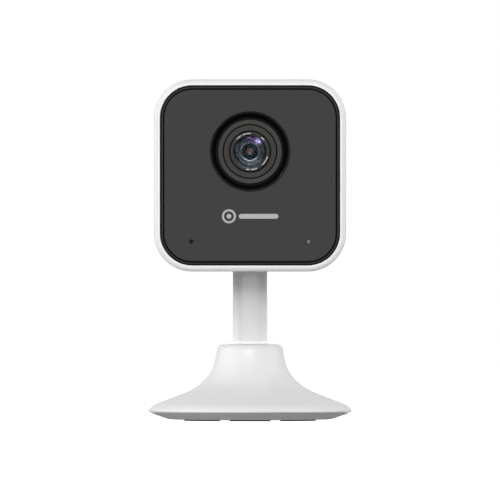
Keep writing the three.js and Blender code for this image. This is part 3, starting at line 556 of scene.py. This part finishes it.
# Radiance of the studio by the sine of the elevation, from straight down to straight up.
STUDIO_LEVELS = ((-1.0, 0.23), (-0.1, 0.23), (0.15, 0.6), (0.6, 0.52), (1.0, 0.4))
FLOOR_GLOW = 0.75
FLOOR_RADIUS = 3.0
FLOOR_GAP = 0.02 * MM


def make_camera():
    """A long lens, level and straight in front, nearly without perspective."""
    data = bpy.data.cameras.new("photo_camera")
    data.sensor_width = SENSOR_WIDTH
    data.lens = SENSOR_WIDTH * CAMERA_DISTANCE / VIEW_WIDTH
    data.clip_start, data.clip_end = 0.1, 50.0
    camera = new_object("photo_camera", data)
    camera.location = (0.0, back_low.y - CAMERA_DISTANCE, VIEW_HEIGHT)
    camera.rotation_euler = (math.pi / 2, 0.0, 0.0)
    bpy.context.scene.camera = camera


def area_light(name, azimuth, elevation, distance, size, radiance, shows="matt", colour=(1, 1, 1)):
    """A soft box aimed at the lens. Azimuth 0 is in front, 90 to the right.

    It lights matt surfaces, shows in glossy ones, or lights what lies behind glass.
    """
    a, e = math.radians(azimuth), math.radians(elevation)
    target = Vector((0, 0, LENS_Z))
    towards = Vector((math.sin(a) * math.cos(e), -math.cos(a) * math.cos(e), math.sin(e)))
    data = bpy.data.lights.new(name, "AREA")
    if isinstance(size, tuple):
        data.shape = "RECTANGLE"
        data.size, data.size_y = size
        surface = size[0] * size[1]
    else:
        data.shape = "DISK"
        data.size = size
        surface = math.pi * size * size / 4
    data.energy = radiance * surface * math.pi
    data.color = colour
    light = new_object(name, data)
    light.location = target + towards * distance
    light.rotation_euler = (-towards).to_track_quat("-Z", "Y").to_euler()
    light.visible_diffuse = shows == "matt"
    light.visible_glossy = shows == "gloss"
    light.visible_transmission = shows == "glass"
    return light


def fade_to_edges(light):
    """Makes a rectangular soft box brightest in its middle and dark at its edges."""
    light.data.use_nodes = True
    graph = Graph(light.data.node_tree)
    place = graph.add("ShaderNodeNewGeometry").outputs["Parametric"]
    split = graph.add("ShaderNodeSeparateXYZ", {"Vector": place})
    waves = [graph.math("SINE", graph.math("MULTIPLY", split.outputs[axis], math.pi)) for axis in "XY"]
    graph.plug(graph.tree.nodes["Emission"].inputs["Strength"], graph.math("MULTIPLY", *waves))


def light_only(lights, pieces, state="INCLUDE"):
    """Lights fall on some pieces only, or with EXCLUDE on all but them."""
    receivers = bpy.data.collections.new("receivers_of_" + lights[0].name)
    for piece in pieces:
        receivers.objects.link(piece)
    for entry in receivers.collection_objects:
        entry.light_linking.link_state = state
    for light in lights:
        light.light_linking.receiver_collection = receivers


def make_lights(frame_piece, stem_piece, foot_piece):
    """Boxes in front and at both sides, others for the stem, and cards that the gloss reflects."""
    light_only([area_light(*row) for row in BODY_LIGHTS], [stem_piece], "EXCLUDE")
    area_light(*BACK_LIGHT)
    light_only([area_light(*row) for row in STEM_LIGHTS], [stem_piece])
    light_only([area_light(*FRONT_CARD)], [frame_piece, foot_piece])
    light_only([area_light(*STEM_CARD)], [stem_piece])


def make_lens_lights(glasses):
    """A spot and a soft sheen on the front glass, and overhead light that passes through it."""
    key, sheen, glint = (area_light(*row) for row in (KEY_SPOT, SHEEN_BOX, GLINT_BOX))
    fade_to_edges(sheen)
    for light in (key, sheen, glint):
        light_only([light], glasses)


def make_world():
    """White all round for the camera; for the object, a studio that is dim below and overhead."""
    world = bpy.data.worlds.new("studio")
    bpy.context.scene.world = world
    world.use_nodes = True
    graph = Graph(world.node_tree)
    direction = graph.add("ShaderNodeTexCoord").outputs["Generated"]
    sine = graph.add("ShaderNodeSeparateXYZ", {"Vector": direction}).outputs["Z"]
    level = graph.ramp(graph.remap(sine, 0.0, 1.0, -1.0, 1.0), [
        ((height + 1) / 2, grey(radiance)) for height, radiance in STUDIO_LEVELS])
    seen = graph.add("ShaderNodeLightPath").outputs["Is Camera Ray"]
    strength = graph.add("ShaderNodeMix", {"Factor": seen, "A": level, "B": 1.0}).outputs[0]
    background = graph.tree.nodes["Background"].inputs
    graph.plug(background["Color"], (1, 1, 1, 1))
    graph.plug(background["Strength"], strength)


def make_floor():
    """A round of white paper that glows a little, so that it is as white as the backdrop."""
    bm = bmesh.new()
    bmesh.ops.create_circle(bm, cap_ends=True, segments=ROUND_STEPS, radius=FLOOR_RADIUS)
    floor = to_object("floor", bm)
    floor.location.z = -FLOOR_GAP
    paper = Nodes("floor_paper")
    paper.set(Base_Color=paper.mix(paper.noise(400), grey(0.92), grey(0.95)), Roughness=0.9)
    paper.set(Emission_Color=(1, 1, 1, 1), Emission_Strength=FLOOR_GLOW)
    floor.data.materials.append(paper.material)
    floor.visible_diffuse = False
    floor.visible_glossy = False


bpy.context.scene.view_settings.view_transform = "Standard"
make_camera()
make_world()
make_floor()


# ---- Head housing ----

WALL, BACK_WALL = mm(2.2, 2)
BACK_FILLET, HOLLOW_FILLET = mm(4, 2.6)
PARTING_GAP, PANEL_GAP = mm(0.02, 0.03)
SLOT_HALF_WIDTH, SLOT_RADIUS, SLOT_WALL = mm(6.1, 5.9, 1.6)
# The slot leaves room for the downward tilt and a little more.
LOOK_DOWN = math.radians(33)
PORT_WALL, PORT_MARGIN = mm(1.2, 0.2)
POST_RADIUS = 2.6 * MM
PIN_BORE, PIN_REACH = mm(1.55, 9)
# How far a cutter reaches past the faces that it cuts.
OVER = 1 * MM

opening = frame["record"]["physics"]["openings"][0]["box_m"]
PORT_X = (opening[0][0] + opening[1][0]) / 2
PORT_Z = (opening[0][2] + opening[1][2]) / 2
PORT_WIDTH = opening[1][0] - opening[0][0] + 2 * PORT_MARGIN
PORT_HEIGHT = opening[1][2] - opening[0][2] + 2 * PORT_MARGIN
PORT_FLOOR = opening[0][1] - PORT_MARGIN
SURROUND_RADIUS = surround_high.x - 1.1 * MM


def middle(node):
    """The middle of a CAD node's box."""
    low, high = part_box(node)
    return (low + high) / 2


SCREW_PLACES = [(m.x, m.z) for m in (middle("housing_screw_1"), middle("housing_screw_2"))]


def front_housing():
    """White frame: rounded front edge, flat rim, seat and ledge for the panel, and two screw posts."""
    front, back = head_low.y, back_low.y - PARTING_GAP
    seat = HEAD_HALF - panel_high.x - PANEL_GAP
    ledge, ledge_front, ledge_back = 4.6 * MM, panel_high.y + 0.3 * MM, panel_high.y + 1.8 * MM
    outline = rounded([
        (0, back, 0.25 * MM), (0, front, 1.4 * MM), (seat, front, 0.12 * MM), (seat, ledge_front, 0),
        (ledge, ledge_front, 0), (ledge, ledge_back, 0), (WALL, ledge_back, 0), (WALL, back, 0)], steps=8)
    housing = to_object("front_frame", square_loft(outline, closed=True))
    carve(housing, [prism(circle(POST_RADIUS, 32), ledge_front + 0.1 * MM, 0.0, place)
                    for place in SCREW_PLACES], "UNION")
    return finish_piece(housing, "head", white_plastic, ["front_housing"])


def stem_sweep(radius, half_width):
    """The room that the stem sweeps as the head tilts, grown by a radius round the hinge."""
    reach = 40 * MM
    forward = Vector((-math.cos(LOOK_DOWN), math.sin(LOOK_DOWN))) * radius
    down = Vector((-math.sin(LOOK_DOWN), -math.cos(LOOK_DOWN))) * reach
    outline = [tuple(forward + down), (reach, -reach), (reach, radius)]
    outline += arc(radius, math.pi / 2, math.pi - LOOK_DOWN, 24)
    return prism(outline, -half_width, half_width, (0, HINGE_Z), axis="X")


def back_slab(inset, front, back, fillet, reach, steps):
    """A block under the back: rounded squares that close in over the flat face, as far as reach."""
    corners = [(inset, front, 0), (inset, back, fillet), (reach, back, 0)]
    return square_loft(rounded(corners, closed=False, steps=steps), closed=False)


def speaker_holes(front, back):
    """A hexagon of small round holes over the speaker."""
    pitch, radius, longest_row = 2.8 * MM, 0.7 * MM, 5
    centre = middle("speaker")
    holes = []
    for row in range(-2, 3):
        count = longest_row - abs(row)
        for i in range(count):
            x = (i - (count - 1) / 2) * pitch
            z = centre.z + row * pitch * math.sin(math.pi / 3)
            holes.append(prism(circle(radius, 24), front, back, (x, z)))
    return merged(holes)


def rear_housing():
    """White back shell with the slot for the stem, inlet recess, card slot, grille and screw seats."""
    front, back = back_low.y, back_high.y
    inner, outside = back - BACK_WALL, back + OVER
    boss, boss_front, seat, seat_floor = mm(3.2, 0.3, 2.3, 2.4)
    bore, bore_back = mm(1.3, 3)
    card, button, button_hole = middle("card_socket"), middle("reset_button"), 2.15 * MM
    port = (PORT_X, PORT_Z)
    recess = rounded_rectangle(PORT_WIDTH, PORT_HEIGHT, 1.2 * MM, 8)
    recess_wall = rounded_rectangle(PORT_WIDTH + 2 * PORT_WALL, PORT_HEIGHT + 2 * PORT_WALL, 2.2 * MM, 8)
    plug_mouth = rounded_rectangle(8 * MM, 3.3 * MM, 0.8 * MM, 6)
    card_mouth = rounded_rectangle(12.4 * MM, 1.8 * MM, 0.6 * MM, 6)
    hollow = to_object("hollow", back_slab(WALL, front - OVER, inner, HOLLOW_FILLET, 8 * MM, 6))
    carve(hollow, [
        stem_sweep(SLOT_RADIUS + SLOT_WALL, SLOT_HALF_WIDTH + SLOT_WALL),
        prism(recess_wall, PORT_FLOOR - PORT_WALL, back, port),
        *[prism(circle(boss, 32), boss_front, back, place) for place in SCREW_PLACES]])
    housing = to_object("rear_shell", back_slab(0, front, back, BACK_FILLET, 9 * MM, 12))
    carve(housing, [
        take_mesh(hollow),
        stem_sweep(SLOT_RADIUS, SLOT_HALF_WIDTH),
        prism(recess, PORT_FLOOR, outside, port),
        prism(plug_mouth, PORT_FLOOR - 2 * PORT_WALL, back, port),
        prism(card_mouth, inner - OVER, outside, (card.x, card.z)),
        prism(circle(button_hole, 48), inner - OVER, outside, (button.x, button.z)),
        *[prism(circle(seat, 40), seat_floor, outside, place) for place in SCREW_PLACES],
        *[prism(circle(bore, 24), 0.0, bore_back, place) for place in SCREW_PLACES],
        prism(circle(PIN_BORE, 24), -PIN_REACH, PIN_REACH, (0, HINGE_Z), axis="X"),
        speaker_holes(inner - OVER, outside)])
    soften(housing, 0.22 * MM, angle=40)
    finish_piece(housing, "head", white_plastic, ["rear_housing"])


def front_panel():
    """Dark panel: polished chamfer, a groove inside it, bores for lens, microphone and status light. The groove,
    bores, sides and back are painted near black as shade.
    """
    front, back = panel_low.y, panel_high.y
    edge = HEAD_HALF - panel_high.x
    chamfer_out, chamfer_in, border = edge + 0.36 * MM, edge + 0.92 * MM, edge + 1.36 * MM
    groove = front + 0.3 * MM
    outline = rounded([
        (edge, back, 0), (edge, front + 0.8 * MM, 0.04 * MM), (chamfer_out, front + 0.35 * MM, 0.03 * MM),
        (chamfer_in, front + 0.05 * MM, 0.02 * MM), (chamfer_in + 0.12 * MM, groove, 0.03 * MM),
        (border - 0.12 * MM, groove, 0.03 * MM), (border, front, 0.03 * MM), (border + MM, front, 0)],
        closed=False, steps=2)
    panel = to_object("dark_panel", square_loft(outline, closed=False))
    led, led_bore, microphone_bore = middle("status_light_pipe"), 0.92 * MM, 0.7 * MM
    through = (front - OVER, back + OVER)
    carve(panel, [
        prism(circle(SURROUND_RADIUS + 0.08 * MM, 128), *through, (0, LENS_Z)),
        prism(circle(led_bore, 40), *through, (led.x, led.z)),
        prism(circle(microphone_bore, 40), *through, (-led.x, led.z))])
    finish_piece(panel, "head", [panel_face, panel_edge, black_and_painted_shade], ["front_panel"])
    # The face and the chamfer keep their plastic; the groove and all else get near black as painted shade.
    for polygon in panel.data.polygons:
        facing = -polygon.normal.y
        on_face = facing > 0.999 and polygon.center.y < front + 0.001 * MM
        on_chamfer = 0.8 < facing < 0.95 and polygon.center.y < front + 0.36 * MM
        polygon.material_index = 0 if on_face else 1 if on_chamfer else 2


def panel_print():
    """Generic mark printed on the panel: a ring with a dot, and a plain bar with round ends."""
    ink_front, ink_back = panel_low.y - 0.015 * MM, panel_low.y + 0.01 * MM
    line_z = HEAD_Z - 12.8 * MM
    ring_x, hole, radius, dot = mm(-6.6, 1.55, 2.2, 0.75)
    bar_x, bar_length, bar_height = mm(2.7, 12.4, 1.5)
    bar = rounded_rectangle(bar_length, bar_height, bar_height / 2, 12)
    outline = band(hole, radius, ink_front, ink_back)
    ring = to_object("print_ring", turned(outline, "Y", (ring_x, 0, line_z), 64))
    carve(ring, [
        prism(circle(dot, 32), ink_front, ink_back, (ring_x, line_z)),
        prism(bar, ink_front, ink_back, (bar_x, line_z))], "UNION")
    finish_piece(ring, "head", ink)


frame_piece = front_housing()
rear_housing()
front_panel()
panel_print()


# ---- Lens ----

TRIM_RADIUS = trim_high.x
BARREL_RADIUS = barrel_high.x
GLASS_RADIUS = glass_high.x
RECESS_FLOOR = -15.9 * MM
PUPIL = 2.6 * MM
TICK_RADIUS = 5.68 * MM
# Groups of ticks round the lens: the first angle, the last angle and how many.
TICK_GROUPS = ((138, 118, 4), (114, 87, 6), (52, 38, 3), (-16, -47, 7), (-68, -87, 5), (-91, -103, 3))


def along_lens(name, outline, closed=True, steps=128):
    """A round piece on the lens axis, from (radius, y) points."""
    return to_object(name, turned(outline, "Y", (0, 0, LENS_Z), steps, closed))


def dome(radius, apex, edge, steps=16):
    """Points of a spherical face from the lens axis out to a radius."""
    sag = edge - apex
    sphere = (radius * radius + sag * sag) / (2 * sag)
    points = []
    for k in range(steps + 1):
        r = radius * k / steps
        points.append((r, apex + sphere - math.copysign(math.sqrt(sphere * sphere - r * r), sag)))
    return points


def lens_surround():
    """Black recess ring: a chamfered lip, a steep cone, a sloping shoulder and a flat floor. The lip and the
    shoulder are painted lighter as a highlight.
    """
    lip, floor, back = surround_low.y, RECESS_FLOOR, surround_high.y
    flange_front, flange_back = mm(-16.6, -15.6)
    outer, flange, bore = SURROUND_RADIUS, surround_high.x, TRIM_RADIUS + 0.01 * MM
    chamfer, step, floor_radius = mm(11.9, 10.7, 9.95)
    outline = rounded([
        (outer - 0.12 * MM, lip, 0.05 * MM), (outer, lip + 0.12 * MM, 0.05 * MM), (outer, flange_front, 0),
        (flange, flange_front, 0), (flange, flange_back, 0), (outer, back, 0), (bore, back, 0),
        (bore, floor, 0.06 * MM), (floor_radius, floor, 0.05 * MM), (step, floor + 0.5 * MM, 0.1 * MM),
        (step + 0.15 * MM, floor + 0.45 * MM, 0.05 * MM), (chamfer, lip + 0.75 * MM, 0.15 * MM)], steps=4)
    piece = along_lens("lens_recess", outline, steps=160)
    materials = [black_and_painted_shade, ledge_material, painted_lip_highlight]
    finish_piece(piece, "head", materials, ["lens_surround"])
    # The lip and the shoulder get the lighter colour as a painted highlight; the floor gets its paint and the cone
    # stays black.
    for polygon in piece.data.polygons:
        radius = math.hypot(polygon.center.x, polygon.center.z - LENS_Z)
        on_floor = bore + 0.05 * MM < radius < floor_radius and polygon.center.y < floor + 0.01 * MM
        on_lip = radius > chamfer and polygon.center.y < lip + 0.74 * MM
        on_step = floor_radius < radius < step
        polygon.material_index = 1 if on_floor else 2 if on_lip or on_step else 0


def lens_trim_ring():
    """Painted trim ring, stepped down at its edge. Only its front carries the trim paint; its step, bore and sides
    get near black as painted shade.
    """
    front, back = trim_low.y, trim_high.y
    bore, radius, step = BARREL_RADIUS + 0.4 * MM, TRIM_RADIUS - 0.32 * MM, front + 0.5 * MM
    outline = rounded([
        (bore, front, 0.06 * MM), (radius, front, 0.08 * MM), (radius, step, 0), (TRIM_RADIUS, step, 0),
        (TRIM_RADIUS, back, 0), (bore, back, 0)], steps=4)
    piece = along_lens("trim_ring", outline)
    finish_piece(piece, "head", [black_and_painted_shade, trim_material], ["lens_trim_ring"])
    # Front faces take the trim paint; the rest takes near black as painted shade.
    for polygon in piece.data.polygons:
        polygon.material_index = 1 if polygon.center.y < front + 0.1 * MM else 0


def lens_barrel():
    """Barrel: a seat for the front lens, stepped baffle rings behind it, the pupil and a thinner back."""
    front, back = barrel_low.y, barrel_high.y
    collar, tube, tube_front = mm(-13.2, 6, -13)
    bore, stop, stop_front, stop_back = mm(3.7, 2.4, -12.7, -12.5)
    seat, seat_floor = GLASS_RADIUS + 0.05 * MM, -15.1 * MM
    baffles = [
        (PUPIL, -13.95 * MM), (PUPIL + 0.5 * MM, -14.0 * MM), mm(3.4, -14.2), mm(4.3, -14.7),
        mm(4.35, -14.55), mm(4.5, -14.6), (5.1 * MM, seat_floor)]
    outline = [
        (BARREL_RADIUS, front), (BARREL_RADIUS, collar), (tube, tube_front), (tube, back), (bore, back),
        (bore, stop_back), (stop, stop_back), (stop, stop_front), (PUPIL, stop_front), *baffles,
        (seat, seat_floor), (seat, front + 0.1 * MM)]
    finish_piece(along_lens("barrel", outline), "head", barrel_material, ["lens_barrel"])


def pupil_ring():
    """Polished ring round the pupil, sloping in towards it."""
    back, front = mm(-14.02, -14.32)
    outline = rounded([
        (PUPIL, back, 0), (PUPIL, back - 0.04 * MM, 0.02 * MM), (PUPIL + 0.42 * MM, front, 0.05 * MM),
        (PUPIL + 0.5 * MM, back, 0)], steps=3)
    finish_piece(along_lens("pupil_ring", outline), "head", pupil_metal)


def lens_retainer():
    """Ring that holds the front lens, bevelled towards the glass, with plain white ticks round its face."""
    front, back = barrel_low.y - 0.35 * MM, barrel_low.y - 0.05 * MM
    bore, radius = 5.2 * MM, BARREL_RADIUS - 0.02 * MM
    outline = rounded([
        (bore, front + 0.3 * MM, 0.05 * MM), (bore + 0.12 * MM, front, 0.06 * MM),
        (radius, front, 0.08 * MM), (radius, back, 0), (GLASS_RADIUS + 0.1 * MM, back, 0)], steps=3)
    ring = along_lens("retaining_ring", outline)
    finish_piece(ring, "head", retainer_material, ["lens_retainer"])
    angles = [math.radians(start + (end - start) * (i + 0.5) / count)
              for start, end, count in TICK_GROUPS for i in range(count)]
    ticks = []
    for i, angle in enumerate(angles):
        spin = Matrix.Rotation(angle, 2)
        width = (0.16 + 0.06 * (i % 3)) * MM
        tick = rounded_rectangle(0.4 * MM, width, 0.05 * MM, 2)
        placed = [tuple(spin @ Vector((u + TICK_RADIUS, v))) for u, v in tick]
        ticks.append(prism(placed, front - 0.008 * MM, front + 0.01 * MM, (0, LENS_Z)))
    finish_piece(to_object("retainer_ticks", merged(ticks)), "head", tick_ink)


def optics():
    """The three lens elements, each with its own curved faces."""
    rear_radius = 4.6 * MM
    face = dome(GLASS_RADIUS, glass_low.y, glass_low.y + 1.4 * MM)
    hollow = dome(rear_radius, glass_low.y + 1.1 * MM, glass_high.y)
    rim = [(GLASS_RADIUS, glass_high.y), (rear_radius, glass_high.y)]
    front = face + rim + hollow[-2::-1]
    low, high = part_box("middle_lens")
    radius = PUPIL - 0.05 * MM
    inner = dome(radius, low.y, low.y + 0.6 * MM, 12) + [(radius, high.y), (0, high.y)]
    low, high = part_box("rear_lens")
    bulge = dome(1.5 * MM, low.y, low.y + 0.45 * MM, 10)
    rear = bulge + [(high.x, low.y + 0.5 * MM)] + dome(high.x, high.y, high.y - 0.5 * MM, 10)[::-1]
    glasses = []
    for name, outline, steps, glass, node in (
            ("front_element", front, 128, front_glass, "front_lens"),
            ("middle_element", inner, 96, inner_glass, "middle_lens"),
            ("rear_element", rear, 96, rear_glass, "rear_lens")):
        piece = along_lens(name, outline, closed=False, steps=steps)
        glasses.append(finish_piece(piece, "head", glass, [node]))
    return glasses


def aperture():
    """Thin black disc with the stop hole, behind the middle element."""
    low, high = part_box("aperture_disc")
    hole = 1.05 * MM
    disc = along_lens("aperture", band(hole, high.x, low.y, high.y), steps=64)
    finish_piece(disc, "head", black_and_painted_shade, ["aperture_disc"])


def status_light_pipe():
    """Small clear pipe with a domed tip behind the panel's right-hand hole."""
    low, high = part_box("status_light_pipe")
    centre = middle("status_light_pipe")
    tip, flange, flange_front = 0.56 * MM, high.x - centre.x, -16.5 * MM
    nose = [(r, low.y + 0.1 * MM + y) for r, y in dome(tip, 0.0, 0.12 * MM, 6)]
    outline = nose + [(tip, flange_front), (flange, flange_front), (flange, high.y), (0, high.y)]
    pipe = to_object("light_pipe", turned(outline, "Y", (centre.x, 0, centre.z), 40, closed=False))
    finish_piece(pipe, "head", diffuser, ["status_light_pipe"])


lens_surround()
lens_trim_ring()
lens_barrel()
lens_retainer()
pupil_ring()
make_lens_lights(optics())
aperture()
status_light_pipe()


# ---- Stem ----

def knuckle(half_width, radius, shoulder, depth):
    """Round head of the stem for the hinge pin, with the lower edges of its cheeks cut off."""
    cut = 0.35 * MM
    drop, notch = shoulder - HINGE_Z, 0.3 * MM
    outline = arc(radius, 0, math.pi, 40) + [
        (-radius, drop + notch), (-radius + notch, drop), (radius - notch, drop), (radius, drop + notch)]
    cheeks = to_object("cheeks", prism(outline, -half_width, half_width, (0, HINGE_Z), axis="X"))
    outer, inner = half_width + OVER, half_width - cut - OVER
    high, low = shoulder + cut + OVER, shoulder - OVER
    carve(cheeks, [prism([(side * outer, high), (side * outer, low), (side * inner, low)], -depth, depth)
                   for side in (-1, 1)])
    return take_mesh(cheeks)


def stem():
    """Column with a small foot flange, a knuckle for the hinge pin and a shaft into the foot."""
    width, depth, corner = mm(10.7, 10, 3.2)
    low, flange = mm(24.06, 0.5)
    shaft_radius, shaft_low, shaft_high = 3.5 * MM, 12 * MM, low + 0.4 * MM
    sections = rounded([
        (flange, low, 0.08 * MM), (flange, low + 0.35 * MM, 0.15 * MM), (0, low + 0.8 * MM, 0.3 * MM),
        (0, HINGE_Z - 2 * MM, 0)], closed=False, steps=4)
    rings = []
    for extra, z in [(0.0, low)] + sections:
        outline = rounded_rectangle(width + 2 * extra, depth + 2 * extra, corner + extra, 14)
        rings.append([(u, v, z) for u, v in outline])
    column = to_object("stem_column", skin(rings, capped=True))
    shaft = turned(band(0, shaft_radius, shaft_low, shaft_high), steps=48)
    half_width, radius, shoulder = mm(5.6, 5.35, 46.6)
    carve(column, [knuckle(half_width, radius, shoulder, depth), shaft], "UNION")
    pin_bore, screw_bore, screw_bore_top = mm(1.58, 1.6, 19)
    carve(column, [
        prism(circle(pin_bore, 32), -PIN_REACH, PIN_REACH, (0, HINGE_Z), axis="X"),
        prism(circle(screw_bore, 24), shaft_low - OVER, screw_bore_top, axis="Z")])
    soften(column, 0.1 * MM, angle=50)
    return finish_piece(column, "stem", white_plastic, ["stem"])


stem_piece = stem()


# ---- Foot ----

FOOT_RADIUS = foot_high.x
NECK_TOP = foot_high.z
RIM_BOTTOM = cover_high.z + 0.1 * MM
RIM_INSET, FOOT_WALL = mm(0.5, 2)
HUB_RADIUS, HUB_BOTTOM, NECK_BORE = mm(6.6, 12.2, 4.7)


def foot_outline():
    """The trumpet from the neck's top edge down to the rim, in (radius, height)."""
    neck_radius, neck_round = mm(8.4, 2)
    points = [(NECK_BORE, NECK_TOP - 0.15 * MM), (NECK_BORE + 0.15 * MM, NECK_TOP), (neck_radius, NECK_TOP)]
    points += arc(neck_round, math.pi / 2, 0.12, 12, (neck_radius, NECK_TOP - neck_round))[1:]
    first = mm(15.3, 12)
    second = mm(26, 6.77)
    third = (FOOT_RADIUS - RIM_INSET, 4.05 * MM)
    tip = (FOOT_RADIUS, 3.15 * MM)
    edge = (FOOT_RADIUS - RIM_INSET, RIM_BOTTOM)
    points += bezier(points[-1], mm(10.6, 19.2), mm(11.6, 15.2), first, 20)
    points += bezier(first, mm(18.07, 9.6), mm(22.8, 7.98), second, 20)
    points += bezier(second, mm(28.6, 5.85), mm(30.8, 5), third, 12)
    points += bezier(third, mm(31.8, 3.75), (FOOT_RADIUS, 3.45 * MM), tip, 6)
    points += bezier(tip, (FOOT_RADIUS, 2.9 * MM), mm(31.85, 2.65), edge, 5)
    return points


def base_shell():
    """The trumpet as a shell of even thickness, with a hub under the neck."""
    outside = foot_outline()
    inside = []
    for before, here, after in zip(outside, outside[1:], outside[2:]):
        along = (Vector(after) - Vector(before)).normalized()
        point = (here[0] + along.y * FOOT_WALL, here[1] - along.x * FOOT_WALL)
        if HUB_RADIUS + MM < point[0] < FOOT_RADIUS - FOOT_WALL and point[1] > RIM_BOTTOM + 0.2 * MM:
            inside.append(point)
    inside.reverse()
    outline = outside + [(FOOT_RADIUS - FOOT_WALL, RIM_BOTTOM)] + inside
    outline += [(HUB_RADIUS, inside[-1][1]), (HUB_RADIUS, HUB_BOTTOM), (NECK_BORE, HUB_BOTTOM)]
    piece = to_object("foot_shell", turned(outline, steps=144))
    return finish_piece(piece, "base", white_plastic, ["base_shell"])


def pad_outline(inner, outer, centre_angle, half_span, steps=40):
    """A stretch of a flat ring."""
    start, end = centre_angle - half_span, centre_angle + half_span
    return arc(outer, start, end, steps) + arc(inner, end, start, steps)


PAD_INNER, PAD_OUTER, PAD_TOP = mm(17, 20.7, 0.85)
COVER_BOTTOM = 0.4 * MM
SHORT_PAD, LONG_PAD = math.radians(18), math.radians(56.5)
NOTCH, NOTCH_SPAN = math.radians(40), math.radians(3)
# Each pad's middle angle, half its span, and the notches in it.
pads = {
    "foot_pad_front": (-math.pi / 2, SHORT_PAD, ()),
    "foot_pad_rear": (math.pi / 2, SHORT_PAD, ()),
    "foot_pad_left": (math.pi, LONG_PAD, (-NOTCH, NOTCH)),
    "foot_pad_right": (0.0, LONG_PAD, (-NOTCH, NOTCH)),
}


def foot_pads():
    """Flat rubber arcs under the foot. The long ones are notched where they touch the table."""
    for node, (centre_angle, half_span, notches) in pads.items():
        outline = pad_outline(PAD_INNER, PAD_OUTER, centre_angle, half_span)
        pad = to_object("soft_" + node, prism(outline, 0.0, PAD_TOP, axis="Z"))
        carve(pad, [
            prism(pad_outline(PAD_INNER - OVER, PAD_OUTER + OVER, centre_angle + notch, NOTCH_SPAN, 6),
                  -OVER, COVER_BOTTOM, axis="Z") for notch in notches])
        soften(pad, 0.1 * MM, angle=50)
        finish_piece(pad, "base", rubber, [node])


def base_cover():
    """Grey cover under the foot: a flat middle, a cone out to the rim, seats for pads and screws."""
    flat, edge = 25.4 * MM, cover_high.x
    top, inside = cover_high.z - 0.1 * MM, 1.9 * MM
    rib = FOOT_RADIUS - FOOT_WALL - 0.15 * MM
    outline = rounded([
        (0, COVER_BOTTOM, 0), (flat, COVER_BOTTOM, 5 * MM), (edge, top - 0.05 * MM, 0.03 * MM),
        (edge, top, 0), (rib, top, 0), (rib, top + 0.7 * MM, 0), (rib - MM, top + 0.7 * MM, 0),
        (24.6 * MM, inside, 0), (0, inside, 0)], closed=False, steps=8)
    cover = to_object("foot_cover", turned(outline, steps=144, closed=False))
    gap, gap_angle = 0.05 * MM, 0.004
    seat, seat_top, bore = mm(2.4, 1.1, 1.4)
    cutters = [prism(pad_outline(PAD_INNER - gap, PAD_OUTER + gap, centre_angle, half_span + gap_angle),
                     -OVER, PAD_TOP + gap, axis="Z") for centre_angle, half_span, _ in pads.values()]
    for i in (1, 2, 3):
        place = middle(f"base_screw_{i}").xy
        cutters.append(prism(circle(seat, 40), -OVER, seat_top, place, axis="Z"))
        cutters.append(prism(circle(bore, 24), 0, inside + OVER, place, axis="Z"))
    carve(cover, cutters)
    soften(cover, 0.08 * MM, angle=50)
    finish_piece(cover, "base", grey_plastic, ["base_bottom"])


foot_piece = base_shell()
base_cover()
foot_pads()
make_lights(frame_piece, stem_piece, foot_piece)


# ---- Screws ----

def screw_mesh(name, head_radius, head_height, shank_radius, length):
    """Pan-head screw along +Z with a cross recess in its head, which is at the bottom."""
    outline = rounded([
        (0, 0, 0), (head_radius * 0.82, 0, head_radius * 0.3), (head_radius, head_height * 0.45, 0.1 * MM),
        (head_radius, head_height, 0), (shank_radius, head_height, 0),
        (shank_radius, length - shank_radius, 0), (shank_radius * 0.3, length, 0), (0, length, 0)],
        closed=False, steps=5)
    screw = to_object(name, turned(outline, steps=40, closed=False))
    arm, width = head_radius * 0.5, head_radius * 0.19
    depth = head_height * 0.6
    carve(screw, [
        prism(rounded_rectangle(2 * arm, width, width / 3, 3), -OVER, depth, axis="Z"),
        prism(rounded_rectangle(width, 2 * arm, width / 3, 3), -OVER, depth, axis="Z")])
    return screw


def visible_screws():
    """Three screws in the cover under the foot and two in the back of the head."""
    for i in (1, 2, 3):
        low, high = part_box(f"base_screw_{i}")
        screw = screw_mesh(f"cover_screw_{i}", *mm(2.2, 0.7, 0.95), high.z - low.z)
        screw.data.transform(Matrix.Translation((*middle(f"base_screw_{i}").xy, low.z)))
        finish_piece(screw, "base", zinc, [f"base_screw_{i}"])
    turn = Matrix.Rotation(math.pi / 2, 4, "X")
    for i in (1, 2):
        low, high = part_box(f"housing_screw_{i}")
        screw = screw_mesh(f"shell_screw_{i}", *mm(2, 1.3, 1.05), high.y - low.y)
        place = Matrix.Translation(((low.x + high.x) / 2, high.y, (low.z + high.z) / 2))
        screw.data.transform(place @ turn)
        finish_piece(screw, "head", zinc, [f"housing_screw_{i}"])


visible_screws()


# ---- Pieces that keep their CAD shape ----

node_materials = {
    zinc: "hinge_pin hinge_nut swivel_screw board_screw_1 board_screw_2",
    brushed_steel: "weight_plate wave_spring retaining_disc usb_socket card_socket",
    nickel: "magnet_ring",
    nylon: "swivel_bush friction_washer_left friction_washer_right",
    cast_aluminium: "heat_spreader",
    copper: "wifi_antenna",
    board_material: "main_board led_board port_board",
    chip_plastic: "processor filter_motor reset_switch antenna_cable light_sensor image_sensor",
    soft_black: "panel_adhesive lens_holder filter_carriage reset_button speaker microphone",
    diffuser: "ir_led_left ir_led_right status_led",
    filter_glass: "ir_cut_glass",
    rear_glass: "clear_glass",
}
for material, names in node_materials.items():
    for name in names.split():
        mesh = frame["nodes"][name].data
        mesh.materials.clear()
        mesh.materials.append(material)
